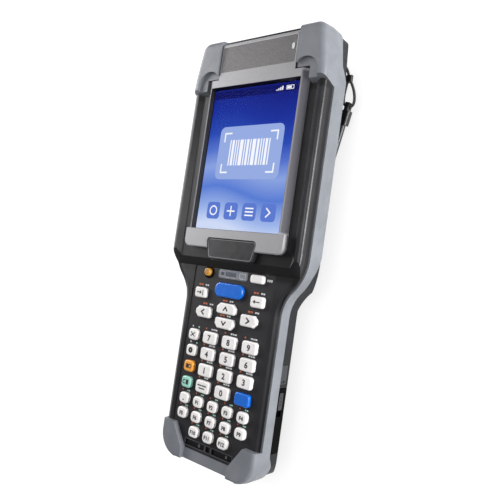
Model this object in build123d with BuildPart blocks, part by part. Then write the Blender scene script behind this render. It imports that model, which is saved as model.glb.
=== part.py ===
from build123d import *
import math
import os

# Portable barcode data terminal, lying on its back: X across the grip, Y from the grip's end
# towards the scanning head, Z out of the screen. Millimetres. The origin is on the surface it
# lies on, below the middle of its length and width.

# Overall envelope
length = 214.0
head_width = 83.0
grip_width = 61.0
depth = 40.6

# Plan outline
head_slant_width = 3.5
head_slant_length = 23.0
head_corner_radius = 6.0
head_bend_radius = 60.0
least_corner_radius = 1.0
head_notch_depth = 3.1
end_notch_depth = 1.3
end_notch_half = 20.0
end_corner_radius = 12.0
shoulder_y = -1.0
shoulder_radius = 23.4
waist_turn = 43.0

# Heights of the layers
seam_z = 32.0
keypad_z = 33.6
grip_edge_z = 33.9
head_edge_z = 38.5
channel_z = 36.4
board_z = 28.0
bezel_z = 39.4
glass_z = 36.9
grip_back_z = 6.0
wing_back_z = 14.0
corner_band_z = 26.0
head_band_z = 22.5
grip_band_z = 25.5
end_band_z = 23.0
corner_band_y = 89.0
side_band_y = 83.0
neck_band_y = 0.0
neck_ramp_y = -10.0
band_ramp_y = -93.0
band_end_y = -98.0
grip_side_z = 19.0

# Walls and clearances
band_wall = 2.4
shell_wall = 2.0
joint_gap = 0.1
cover_step = 0.6
seam_groove = 0.8
rim_lean = 0.6
rim_edge_radius = 2.2
grip_rim_radius = 1.9
rim_inset = 4.1
channel_inset = 6.5
grip_lean = 2.0
lip_inset = 0.9
slide_gap = 0.15
soft_gap = 0.3
cut_margin = 0.5

# Display
screen_y = 44.5
screen_width = 54.4
screen_height = 72.2
bezel_low_y = -1.3
bezel_bar_y = 8.0
bezel_inset = 0.3
bezel_corner = 3.5
bezel_crest_x = 28.0
bezel_foot_z = 36.8
glass_margin = 1.6
glass_thickness = 1.2
display_thickness = 3.6
aperture_margin = 0.4
display_margin = 0.5
bezel_edge = 0.5
bezel_slope = 0.4
lens_x = 21.0
lens_y = 96.3
lens_length = 3.0
lens_width = 1.5
lens_depth = 1.0
lens_rise = 0.15

# Corner bumpers
cap_inner_x = 24.4
cap_inner_y = 85.7
cap_side_x = 31.5
cap_foot_y = 77.0
cap_low_y = 80.8
cap_lean = 1.2
cap_gap = 0.25
cap_seam = 0.7
arm_lean = 0.7
arm_edge_radius = 2.0
cap_edge_radius = 3.0
scoop_radius = 7.3
scoop_x = 29.5
scoop_y = 82.5
scoop_depth = 1.8
arm_y = -89.9
arm_z = 36.6
arm_inner_x = 22.4
lip_half = 15.0
lip_y = -100.6
lip_z = 34.0

# Chin below the display, with the name plate on it
chin_top_y = -3.0
chin_foot_y = -10.6
rim_end_y = -22.0
rim_end_rise = 0.2
plate_top_y = 3.8
plate_low_y = -6.4
plate_top_half = 16.2
plate_low_half = 13.9
plate_thickness = 2.3
plate_margin = 0.7
plate_edge = 0.4
plate_corner = 1.9

# Keypad
panel_half = 25.5
panel_low_y = -100.6
mat_inset = 1.0
keypad_x = -0.35
key_top_z = 35.4
key_travel = 0.8
key_hole_gap = 0.14
key_flange = 0.45
key_flange_thickness = 0.8
key_lift = 0.05
key_edge_radius = 0.8
small_column_x = -18.8
function_pitch = 9.4
number_column_x = -7.76
number_pitch = 12.53
number_row_y = -45.3
number_row_pitch = 8.0
function_row_y = -77.2
function_row_pitch = 7.3
small_key_width = 6.4
small_key_height = 5.6
small_key_corner = 1.8
number_key_width = 8.8
number_key_height = 6.0
number_key_corner = 1.5
function_key_width = 6.1
function_key_height = 5.3
function_key_corner = 2.0
arrow_bevel = 1.9
power_x = -15.7
power_y = -13.2
power_key_size = 3.9
power_well_radius = 3.1
power_well_depth = 0.9
window_corner = 1.0
window_rise = 0.3
window_width = 18.4
window_height = 4.4
window_y = -13.1
dock_slot_width = 12.6
dock_slot_height = 2.6
dock_slot_x = 8.8
dock_slot_y = -97.7
dock_slot_depth = 0.7

# Scanning head on the back
hump_half = 16.0
hump_root_half = 20.0
hump_low_y = 16.0
hump_recess = 4.5
hump_wall = 2.4
wing_bevel = 8.5
wing_ramp_y = -8.0
wing_end_y = -28.0
hollow_inset = 4.6
grip_back_half = 19.0
engine_width = 22.0
engine_length = 15.0
engine_height = 10.0
engine_gap = 5.5
engine_lens_x = 4.4
engine_lens_radius = 2.6
engine_lens_reach = 2.0
window_ledge = 1.0
scan_window_width = 28.0
scan_window_height = 9.0
scan_window_z = 7.5
scan_window_thickness = 1.5

# Battery
battery_low_y = -92.0
battery_wide_y = -62.0
battery_high_y = -18.0
battery_core_half = 17.6
battery_core_z = 18.5
battery_side_half = 29.6
battery_gap = 0.3
latch_y = -68.0
latch_length = 8.0
latch_height = 3.0
latch_depth = 1.2
latch_travel = 3.0
latch_z = 22.0
latch_rise = 0.3
latch_corner = 0.75
latch_groove_pitch = 1.6
battery_top_gap = 0.4
wide_roof_z = 27.2

# Hand strap and its pin
strap_width = 25.0
strap_thickness = 2.4
strap_low_y = -96.5
pin_y = 9.0
pin_z = 3.2
pin_radius = 1.5
pin_fit = 0.05
strap_loop_wall = 1.0
lug_thickness = 3.2
lug_x = 14.6
lug_radius = 2.4
pad_low_y = -72.0
pad_high_y = -16.0
pad_width = 31.0
pad_thickness = 4.2
pad_corner = 5.0
foot_low_y = -104.0
foot_high_y = -93.0
foot_half = 17.0

# Jack cover on the right side of the grip
jack_y = -55.6
jack_length = 9.0
jack_height = 5.2
jack_thickness = 1.2
jack_hole_radius = 1.8
jack_z = 22.1
jack_grip_width = 1.2
jack_grip_depth = 0.5
jack_grip_height = 2.6

# Stylus, held in a sleeve beside the scanning hump, with its tether
stylus_head = (35.6, 70.5, 9.5)
stylus_lean = (0.246, 1.0, 0.085)
stylus_radius = 1.6
stylus_length = 76.0
stylus_head_length = 7.0
stylus_head_width = 5.0
stylus_head_thickness = 4.0
stylus_head_corner = 1.0
stylus_tip_length = 5.0
stylus_tip_radius = 0.7
eye_width = 2.0
eye_length = 4.0
eye_thickness = 3.6
eye_radius = 1.1
eye_drop = 2.2
sleeve_drop = 30.0
sleeve_length = 14.0
sleeve_wall = 1.3
sleeve_web = 2.4
sleeve_web_height = 9.0
sleeve_fit = 0.06
tether_radius = 0.7
tether_socket_depth = 1.0
tether_lug = (23.0, 99.9, 10.0)
tether_lug_size = (2.4, 4.6, 6.4)
tether_route = [(23.2, 99.9, 10.0), (28.8, 99.9, 10.0), (33.2, 95.6, 9.1), (34.3, 91.2, 8.4)]
loop_route = [(35.3, 89.8, 8.4), (38.2, 84.6, 8.8), (39.9, 78.6, 9.6), (39.09, 75.49, 9.97),
              (34.82, 76.54, 9.97), (33.5, 79.6, 9.6), (33.2, 84.8, 8.8), (33.7, 89.8, 8.4)]
crimp_at = (34.5, 90.6, 8.4)
crimp_size = (3.6, 3.4, 2.2)
crimp_corner = 0.9
cord_arc_share = 0.45

# Boards and screws
board_thickness = 1.6
screw_x = 31.7
screw_low_y = 10.0
screw_high_y = 70.0
screw_radius = 1.1
screw_head_radius = 2.2
screw_head_depth = 1.8
screw_reach = 3.4
screw_fit = 0.05
screw_socket_radius = 1.1
screw_socket_depth = 0.9
board_inset = 6.0
board_high_gap = 9.0
board_low_gap = 7.4
mat_low_gap = 9.5
post_x = 25.0
post_gap = 12.4
post_low_y = 2.0
post_radius = 2.4
screw_seat_z = 16.6
boss_wall = 2.0
boss_root = 0.3

# Worked out from the sizes above
half_length = length / 2
head_half = head_width / 2
grip_half = grip_width / 2
head_corner_x = head_half - head_slant_width
head_bend_y = half_length - head_slant_length
head_notch_y = half_length - head_notch_depth
bezel_high_y = head_notch_y - bezel_inset
hump_high_y = half_length - hump_recess
engine_y = hump_high_y - engine_gap - engine_length / 2
board_high_y = half_length - board_high_gap
board_low_y = board_low_gap - half_length
mat_low_y = mat_low_gap - half_length
post_high_y = half_length - post_gap
boss_low_z = wing_back_z + shell_wall - boss_root
neck_radius = (head_half - grip_half) / (1 - math.cos(math.radians(waist_turn))) - shoulder_radius


def draw_outline(height, inset):
    """The terminal's outline from above, drawn in by an inset: wide head, waist, narrow grip."""
    turn = math.radians(waist_turn)
    grip_y = shoulder_y - (shoulder_radius + neck_radius) * math.sin(turn)
    end = grip_half - end_corner_radius
    top = half_length - inset
    side = head_half - inset
    slant = math.atan2(head_half - head_corner_x, half_length - head_bend_y)
    corner_x = head_corner_x - inset * math.tan(math.pi / 4 - slant / 2)
    with BuildSketch(Plane.XY.offset(height)) as sketch:
        with BuildLine():
            Polyline((0, top), (corner_x, top), (side, head_bend_y - inset * math.tan(slant / 2)),
                     (side, shoulder_y))
            CenterArc((head_half - shoulder_radius, shoulder_y), shoulder_radius - inset,
                      -waist_turn, waist_turn)
            CenterArc((grip_half + neck_radius, grip_y), neck_radius + inset,
                      180 - waist_turn, waist_turn)
            Line((grip_half - inset, grip_y), (grip_half - inset, end_corner_radius - half_length))
            CenterArc((end, end_corner_radius - half_length), end_corner_radius - inset, -90, 90)
            Line((end, -top), (0, -top))
            mirror(about=Plane.YZ)
        make_face()
        corners = sketch.vertices().group_by(Axis.Y)[-1].sort_by(Axis.X)
        fillet([corners[0], corners[-1]], max(head_corner_radius - inset, least_corner_radius))
        bends = [sketch.vertices().group_by(Axis.X)[place].sort_by(Axis.Y)[-1] for place in (0, -1)]
        fillet(bends, head_bend_radius - inset)
    return sketch.sketch


def draw_plan(height, inset):
    """The outline with the notches between its corner bumpers: at the head and the grip's end."""
    with BuildSketch(Plane.XY.offset(height)) as sketch:
        add(draw_outline(0, inset))
        with Locations((0, half_length)):
            Rectangle(2 * (cap_inner_x + inset), 2 * (head_notch_depth + inset), mode=Mode.SUBTRACT)
        with Locations((0, -half_length)):
            Rectangle(2 * (end_notch_half + inset), 2 * (end_notch_depth + inset), mode=Mode.SUBTRACT)
    return sketch.sketch


def draw_cover_region(height, inset):
    """What the bumper arms at the grip's end leave free for the front cover."""
    right = [
        (lip_half - inset, lip_y + inset),
        (arm_inner_x - inset, arm_y + inset),
        (head_width, arm_y + inset),
        (head_width, length),
    ]
    left = [(-x, y) for x, y in reversed(right)]
    with BuildSketch(Plane.XY.offset(height)) as sketch:
        Polygon(*right, *left, align=None)
    return sketch.sketch


def draw_along(points):
    """A closed profile in length and height, drawn on the left side of the terminal."""
    with BuildSketch(Plane.YZ.offset(-head_half)) as sketch:
        Polygon(*points, align=None)
    return sketch.sketch


def draw_across(start_y, points):
    """A closed profile in half width and height, mirrored, drawn across the terminal."""
    with BuildSketch(Plane.XZ.offset(-start_y)) as sketch:
        Polygon(*points, *[(-x, z) for x, z in reversed(points)], align=None)
    return sketch.sketch


def draw_plate(height, margin):
    """The name plate's trapezium, grown by a margin."""
    with BuildSketch(Plane.XY.offset(height)) as sketch:
        Polygon(
            (plate_low_half + margin, plate_low_y - margin),
            (plate_top_half + margin, plate_top_y + margin),
            (-plate_top_half - margin, plate_top_y + margin),
            (-plate_low_half - margin, plate_low_y - margin),
            align=None,
        )
        fillet(sketch.vertices(), plate_corner + margin)
    return sketch.sketch


def band_low_edge(drop):
    """Length and height points of the band's rear edge, lowered by a drop."""
    return [
        (half_length, corner_band_z - drop),
        (corner_band_y, corner_band_z - drop),
        (side_band_y, head_band_z - drop),
        (neck_band_y, head_band_z - drop),
        (neck_ramp_y, grip_band_z - drop),
        (band_ramp_y, grip_band_z - drop),
        (band_end_y, end_band_z - drop),
        (-half_length, end_band_z - drop),
    ]


def fill_cap_room(gap):
    """The room of both head caps, grown by a gap: open towards the head, the sides and the front."""
    with BuildPart() as room:
        side_view = [(cap_foot_y - gap, seam_z), (cap_low_y - gap, depth), (length, depth),
                     (length, seam_z)]
        extrude(draw_along(side_view), amount=head_width)
        with BuildSketch(Plane.XY.offset(seam_z)):
            Rectangle(2 * (cap_side_x - gap), 2 * (cap_inner_y - gap))
            with Locations((0, length)):
                Rectangle(2 * (cap_inner_x - gap), 2 * length)
        extrude(amount=depth - seam_z, mode=Mode.SUBTRACT)
    return room.part


def along_stylus(distance):
    """A point on the stylus's axis, measured from the middle of its head towards its eye."""
    return Vector(*stylus_head) + Vector(*stylus_lean).normalized() * distance


def save(piece, name):
    piece.part.label = name
    export_step(piece.part, f"parts/{name}.step")


os.makedirs("parts", exist_ok=True)

# Bumper ring: a band round the whole terminal, with caps over its corners
with BuildPart() as head_caps:
    loft([draw_outline(seam_z, 0), draw_outline(depth, cap_lean)], ruled=True)
    fillet(head_caps.faces().sort_by(Axis.Z)[-1].edges(), cap_edge_radius)
    add(fill_cap_room(0), mode=Mode.INTERSECT)
    with BuildSketch(Plane.XY.offset(depth - scoop_depth)):
        with Locations((scoop_x, scoop_y), (-scoop_x, scoop_y)):
            Circle(scoop_radius)
    extrude(amount=scoop_depth, mode=Mode.SUBTRACT)

with BuildPart() as end_caps:
    loft([draw_outline(seam_z, 0), draw_outline(arm_z, arm_lean)], ruled=True)
    fillet(end_caps.faces().sort_by(Axis.Z)[-1].edges(), arm_edge_radius)
    extrude(draw_cover_region(seam_z, 0), amount=arm_z - seam_z, mode=Mode.SUBTRACT)
    with BuildSketch(Plane.XY.offset(seam_z)):
        with Locations((0, half_length)):
            Rectangle(length, length)
    extrude(amount=arm_z - seam_z, mode=Mode.SUBTRACT)
    with BuildSketch(Plane.XY.offset(lip_z)):
        with Locations((0, -half_length)):
            Rectangle(2 * lip_half, 2 * (half_length + lip_y + cut_margin))
    extrude(amount=arm_z - lip_z, mode=Mode.SUBTRACT)
    with BuildSketch(Plane.XY.offset(seam_z)):
        with Locations((0, -half_length)):
            Rectangle(2 * end_notch_half, 2 * end_notch_depth)
    extrude(amount=arm_z - seam_z, mode=Mode.SUBTRACT)

with BuildPart() as bumper_ring:
    extrude(draw_plan(0, 0), amount=seam_z)
    side_view = [*band_low_edge(0), (-half_length, seam_z), (half_length, seam_z)]
    extrude(draw_along(side_view), amount=head_width, mode=Mode.INTERSECT)
    extrude(draw_plan(0, band_wall), amount=seam_z, mode=Mode.SUBTRACT)
    add(head_caps.part)
    add(end_caps.part)
save(bumper_ring, "bumper_ring")

# Keys: name, middle, size and corner radius of each, and the side that an arrow key points to
keys = [
    ("key_power", power_x, power_y, power_key_size, power_key_size, 1.9, None),
    ("key_talk", 16.2, -13.4, 7.9, 4.0, 1.2, None),
    ("key_tab", -18.1, -23.9, 7.6, 5.2, 1.3, None),
    ("key_scan", 0.0, -20.9, 17.8, 7.0, 3.1, None),
    ("key_back", 18.1, -23.9, 7.8, 5.4, 1.3, None),
    ("key_up", 0.0, -29.7, 11.8, 5.2, 1.2, (0, 1)),
    ("key_down", 0.0, -36.9, 11.8, 5.2, 1.2, (0, -1)),
    ("key_left", -14.6, -33.3, 9.8, 5.6, 1.2, (-1, 0)),
    ("key_right", 14.6, -33.3, 9.8, 5.6, 1.2, (1, 0)),
]
left_names = ["key_escape", "key_help", "key_orange", "key_green"]
number_names = [["key_7", "key_8", "key_9"], ["key_4", "key_5", "key_6"],
                ["key_1", "key_2", "key_3"], ["key_field", "key_0", "key_enter"]]
for row, names in enumerate(number_names):
    row_y = number_row_y - row * number_row_pitch
    keys.append((left_names[row], small_column_x, row_y, small_key_width, small_key_height,
                 small_key_corner, None))
    for column, name in enumerate(names):
        keys.append((name, number_column_x + column * number_pitch, row_y, number_key_width,
                     number_key_height, number_key_corner, None))
function_names = [["key_point", "key_f1", "key_f2", "key_f3", "key_f4"],
                  ["key_f5", "key_f6", "key_f7", "key_f8", "key_f9"],
                  ["key_f10", "key_f11", "key_f12"]]
for row, names in enumerate(function_names):
    for column, name in enumerate(names):
        keys.append((name, (column - (len(names) - 1) / 2) * function_pitch,
                     function_row_y - row * function_row_pitch, function_key_width,
                     function_key_height, function_key_corner, None))


def draw_key(height, key, growth):
    """One key's outline at a height, grown by a clearance or drawn in by a negative one."""
    _, x, y, key_width, key_height, corner, points_to = key
    with BuildSketch(Plane.XY.offset(height)) as sketch:
        with Locations((keypad_x + x, y)):
            RectangleRounded(key_width + 2 * growth, key_height + 2 * growth, corner + growth)
            if points_to:
                turn = math.degrees(math.atan2(points_to[1], points_to[0]))
                reach, span = (key_width, key_height) if points_to[0] else (key_height, key_width)
                with Locations(Location((0, 0, 0), (0, 0, turn))):
                    Polygon(
                        (-reach, -span),
                        (reach / 2 + growth - arrow_bevel, -span),
                        (reach / 2 + growth - arrow_bevel, -span / 2 - growth),
                        (reach / 2 + growth, -span / 2 - growth + arrow_bevel),
                        (reach / 2 + growth, span / 2 + growth - arrow_bevel),
                        (reach / 2 + growth - arrow_bevel, span / 2 + growth),
                        (reach / 2 + growth - arrow_bevel, span),
                        (-reach, span),
                        align=None,
                        mode=Mode.INTERSECT,
                    )
    return sketch.sketch


key_low_z = seam_z - key_lift - key_flange_thickness
for key in keys:
    with BuildPart() as cap:
        extrude(draw_key(key_low_z, key, 0), amount=key_top_z - key_low_z)
        fillet(cap.faces().sort_by(Axis.Z)[-1].edges(), key_edge_radius)
        extrude(draw_key(key_low_z, key, key_flange), amount=key_flange_thickness)
    save(cap, key[0])

# Front cover: rim, display surround, chin and keypad face in one moulding
glass_width = screen_width + 2 * glass_margin
glass_height = screen_height + 2 * glass_margin
step_z = seam_z + seam_groove
corner_screws = [(screw_x, screw_low_y), (screw_x, screw_high_y),
                 (-screw_x, screw_low_y), (-screw_x, screw_high_y)]
with BuildPart() as cover_head:
    loft([draw_outline(step_z, cover_step), draw_outline(head_edge_z, cover_step + rim_lean)], ruled=True)
    fillet(cover_head.faces().sort_by(Axis.Z)[-1].edges(), rim_edge_radius)
    side_view = [(half_length, step_z), (half_length, head_edge_z), (chin_top_y, head_edge_z),
                 (chin_foot_y, grip_edge_z), (rim_end_y, step_z + rim_end_rise), (rim_end_y, step_z)]
    extrude(draw_along(side_view), amount=head_width, mode=Mode.INTERSECT)
    loft([draw_outline(channel_z, channel_inset), draw_outline(head_edge_z, rim_inset)], ruled=True,
         mode=Mode.SUBTRACT)
    with BuildSketch(Plane.XY.offset(channel_z)):
        with Locations((0, half_length)):
            Rectangle(2 * cap_inner_x, 2 * (half_length - cap_inner_y))
    extrude(amount=head_edge_z - channel_z, mode=Mode.SUBTRACT)

with BuildPart() as cover_grip:
    loft([draw_outline(step_z, cover_step), draw_outline(grip_edge_z, cover_step + grip_lean)], ruled=True)
    fillet(cover_grip.faces().sort_by(Axis.Z)[-1].edges(), grip_rim_radius)
    extrude(draw_plan(step_z, cover_step), amount=grip_edge_z - step_z, mode=Mode.INTERSECT)

with BuildPart() as front_cover:
    extrude(draw_plan(seam_z, cover_step + seam_groove), amount=seam_groove)
    add(cover_grip.part)
    add(cover_head.part)
    extrude(draw_plate(grip_edge_z, plate_margin), amount=channel_z - grip_edge_z)
    extrude(draw_cover_region(seam_z, joint_gap), amount=head_edge_z - seam_z, mode=Mode.INTERSECT)
    add(fill_cap_room(cap_seam), mode=Mode.SUBTRACT)
    with BuildSketch(Plane.XY.offset(seam_z)):
        with Locations((0, screen_y)):
            Rectangle(glass_width + 2 * aperture_margin, glass_height + 2 * aperture_margin)
    extrude(amount=head_edge_z - seam_z, mode=Mode.SUBTRACT)
    with BuildSketch(Plane.XY.offset(keypad_z)):
        with Locations((0, (chin_foot_y + panel_low_y) / 2)):
            Rectangle(2 * panel_half, chin_foot_y - panel_low_y)
    extrude(amount=grip_edge_z - keypad_z, mode=Mode.SUBTRACT)
    with BuildSketch(Plane.XY.offset(keypad_z - dock_slot_depth)):
        with Locations((dock_slot_x, dock_slot_y), (-dock_slot_x, dock_slot_y)):
            Rectangle(dock_slot_width, dock_slot_height)
        with Locations((0, dock_slot_y)):
            Rectangle(dock_slot_height, dock_slot_height)
    extrude(amount=dock_slot_depth, mode=Mode.SUBTRACT)
    with BuildSketch(Plane.XY.offset(keypad_z - power_well_depth)):
        with Locations((keypad_x + power_x, power_y)):
            Circle(power_well_radius)
    extrude(amount=power_well_depth, mode=Mode.SUBTRACT)
    for key in keys:
        extrude(draw_key(seam_z, key, key_hole_gap), amount=head_edge_z - seam_z, mode=Mode.SUBTRACT)
    with BuildSketch(Plane.XY.offset(seam_z)):
        with Locations((0, window_y)):
            RectangleRounded(window_width + 2 * joint_gap, window_height + 2 * joint_gap, window_corner)
    extrude(amount=head_edge_z - seam_z, mode=Mode.SUBTRACT)
    with BuildSketch(Plane.XY.offset(seam_z)):
        with Locations(*corner_screws):
            Circle(screw_radius + screw_fit)
    extrude(amount=screw_reach + joint_gap, mode=Mode.SUBTRACT)
save(front_cover, "front_cover")

# Status window beside the power key
with BuildPart() as status_window:
    with BuildSketch(Plane.XY.offset(seam_z)):
        with Locations((0, window_y)):
            RectangleRounded(window_width, window_height, window_corner)
    extrude(amount=keypad_z - seam_z + window_rise)
    fillet(status_window.faces().sort_by(Axis.Z)[-1].edges(), window_rise)
save(status_window, "status_window")

# Display bezel: metal-look frame round the screen, reaching up between the bumper caps
with BuildPart() as display_bezel:
    with BuildSketch(Plane.XY.offset(channel_z)):
        with Locations((0, (bezel_low_y + cap_inner_y - cap_gap) / 2)):
            lower = Rectangle(2 * (cap_side_x - cap_gap), cap_inner_y - cap_gap - bezel_low_y)
        with Locations((0, (screen_y + bezel_high_y) / 2)):
            Rectangle(2 * (cap_inner_x - cap_gap), bezel_high_y - screen_y)
        fillet(lower.vertices().group_by(Axis.Y)[0], bezel_corner)
    extrude(amount=bezel_z - channel_z)
    chamfer(display_bezel.faces().sort_by(Axis.Z)[-1].edges(), bezel_edge)
    with BuildSketch(Plane.XY.offset(channel_z)):
        with Locations((0, screen_y)):
            Rectangle(glass_width + 2 * joint_gap, glass_height + 2 * joint_gap)
    extrude(amount=glass_z + joint_gap - channel_z, mode=Mode.SUBTRACT)
    with BuildSketch(Plane.XY.offset(glass_z)) as window_low:
        with Locations((0, screen_y)):
            Rectangle(screen_width, screen_height)
    with BuildSketch(Plane.XY.offset(bezel_z)) as window_high:
        with Locations((0, screen_y)):
            Rectangle(screen_width + 2 * bezel_slope, screen_height + 2 * bezel_slope)
    loft([window_low.sketch, window_high.sketch], ruled=True, mode=Mode.SUBTRACT)
    for side in (-1, 1):
        outside = [(side * bezel_crest_x, bezel_z), (side * (cap_side_x - cap_gap), bezel_foot_z),
                   (side * (cap_side_x + cap_gap), bezel_foot_z), (side * (cap_side_x + cap_gap), bezel_z)]
        with BuildSketch(Plane.XZ.offset(-cap_inner_y)):
            Polygon(*outside, align=None)
        extrude(amount=cap_inner_y - bezel_bar_y, mode=Mode.SUBTRACT)
    extrude(draw_plate(channel_z, joint_gap), amount=bezel_z - channel_z, mode=Mode.SUBTRACT)
    with BuildSketch(Plane.XY.offset(bezel_z - lens_depth)):
        with Locations((lens_x, lens_y)):
            SlotOverall(lens_length + 2 * joint_gap, lens_width + 2 * joint_gap, rotation=90)
    extrude(amount=lens_depth, mode=Mode.SUBTRACT)
save(display_bezel, "display_bezel")

# Light sensor lens in the bezel's top plate
with BuildPart() as light_sensor_lens:
    with BuildSketch(Plane.XY.offset(bezel_z - lens_depth)):
        with Locations((lens_x, lens_y)):
            SlotOverall(lens_length, lens_width, rotation=90)
    extrude(amount=lens_depth + lens_rise)
save(light_sensor_lens, "light_sensor_lens")

# Name plate, left blank
with BuildPart() as name_plate:
    extrude(draw_plate(channel_z, 0), amount=plate_thickness)
    chamfer(name_plate.faces().sort_by(Axis.Z)[-1].edges(), plate_edge)
save(name_plate, "name_plate")

# Touch panel and the display module under it
with BuildPart() as touch_panel:
    with BuildSketch(Plane.XY.offset(glass_z - glass_thickness)):
        with Locations((0, screen_y)):
            Rectangle(glass_width, glass_height)
    extrude(amount=glass_thickness)
save(touch_panel, "touch_panel")

display_z = glass_z - glass_thickness - joint_gap - display_thickness
with BuildPart() as display_module:
    with BuildSketch(Plane.XY.offset(display_z)):
        with Locations((0, screen_y)):
            Rectangle(glass_width - 2 * display_margin, glass_height - 2 * display_margin)
    extrude(amount=display_thickness)
save(display_module, "display_module")

# Main board, notched round the screw bosses, and the rubber mat that the keys press
with BuildPart() as main_board:
    extrude(draw_outline(board_z, board_inset), amount=board_thickness)
    with BuildSketch(Plane.XY.offset(board_z)):
        with Locations((0, (board_low_y + board_high_y) / 2)):
            Rectangle(head_width, board_high_y - board_low_y)
    extrude(amount=board_thickness, mode=Mode.INTERSECT)
    with BuildSketch(Plane.XY.offset(board_z)):
        with Locations(*corner_screws):
            Circle(screw_radius + boss_wall + soft_gap)
    extrude(amount=board_thickness, mode=Mode.SUBTRACT)
save(main_board, "main_board")

mat_z = board_z + board_thickness + joint_gap
with BuildPart() as keypad_mat:
    with BuildSketch(Plane.XY.offset(mat_z)):
        with Locations((0, (chin_foot_y + mat_low_y) / 2)):
            Rectangle(2 * (panel_half - mat_inset), chin_foot_y - mat_low_y)
    extrude(amount=seam_z - key_lift - key_flange_thickness - key_travel - joint_gap / 2 - mat_z)
save(keypad_mat, "keypad_mat")

# Rear housing: a tray inside the band, the scanning hump, and the grip's back with its battery bay
grip_section = [(grip_half, seam_z), (grip_half, grip_side_z), (grip_back_half, grip_back_z)]
wing_section = [(head_half, seam_z), (head_half, wing_back_z + wing_bevel),
                (head_half - wing_bevel, wing_back_z)]
hump_section = [(hump_root_half, seam_z), (hump_root_half, wing_back_z), (hump_half, 0)]
with BuildPart() as back_form:
    extrude(draw_across(half_length, wing_section), amount=half_length - wing_end_y)
    side_view = [(half_length, seam_z), (half_length, wing_back_z), (wing_ramp_y, wing_back_z),
                 (wing_end_y, grip_side_z), (wing_end_y, seam_z)]
    extrude(draw_along(side_view), amount=head_width, mode=Mode.INTERSECT)
    extrude(draw_across(hump_high_y, hump_section), amount=hump_high_y - hump_low_y)
    extrude(draw_across(hump_low_y, grip_section), amount=hump_low_y + half_length)
    with BuildSketch(Plane.XY):
        with Locations((0, (foot_low_y + foot_high_y) / 2)):
            Rectangle(2 * foot_half, foot_high_y - foot_low_y)
    extrude(amount=grip_side_z)
    with BuildSketch(Plane.XY):
        with Locations((0, (strap_low_y - soft_gap + foot_high_y) / 2)):
            Rectangle(strap_width + 2 * soft_gap, foot_high_y - strap_low_y + soft_gap)
    extrude(amount=grip_back_z, mode=Mode.SUBTRACT)
    with BuildSketch(Plane.XY.offset(pin_z - lug_radius)):
        with Locations((lug_x, pin_y), (-lug_x, pin_y)):
            Rectangle(lug_thickness, 2 * lug_radius)
    extrude(amount=wing_back_z - pin_z)

with BuildPart() as visible_side:
    extrude(draw_plan(0, lip_inset), amount=seam_z)
    side_view = [*band_low_edge(joint_gap), (-half_length, 0), (half_length, 0)]
    extrude(draw_along(side_view), amount=head_width, mode=Mode.INTERSECT)

with BuildPart() as head_hollow:
    extrude(draw_plan(wing_back_z, hollow_inset), amount=seam_z - wing_back_z)
    inside = [(head_half, seam_z), (head_half, wing_back_z + wing_bevel + shell_wall / 2),
              (head_half - wing_bevel - shell_wall / 2, wing_back_z + shell_wall)]
    extrude(draw_across(half_length, inside), amount=half_length - wing_ramp_y, mode=Mode.INTERSECT)

with BuildPart() as grip_hollow:
    extrude(draw_plan(battery_core_z + battery_gap + shell_wall, hollow_inset),
            amount=seam_z - battery_core_z - battery_gap - shell_wall)
    side_view = [(battery_high_y + battery_gap, 0), (wing_ramp_y + shell_wall / 2, 0),
                 (wing_ramp_y + shell_wall / 2, seam_z), (-half_length, seam_z),
                 (-half_length, wide_roof_z),
                 (battery_wide_y + shell_wall, wide_roof_z), (battery_wide_y + shell_wall, 0)]
    extrude(draw_along(side_view), amount=head_width, mode=Mode.INTERSECT)

with BuildPart() as battery_bay:
    with BuildSketch(Plane.XY):
        with Locations((0, (battery_low_y + battery_high_y) / 2)):
            Rectangle(2 * (battery_core_half + battery_gap),
                      battery_high_y - battery_low_y + 2 * battery_gap)
    extrude(amount=battery_core_z + battery_gap)
    with BuildSketch(Plane.XY):
        with Locations((0, (battery_low_y + battery_wide_y) / 2)):
            Rectangle(head_width, battery_wide_y - battery_low_y + 2 * battery_gap)
    extrude(amount=grip_band_z - joint_gap)

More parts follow.
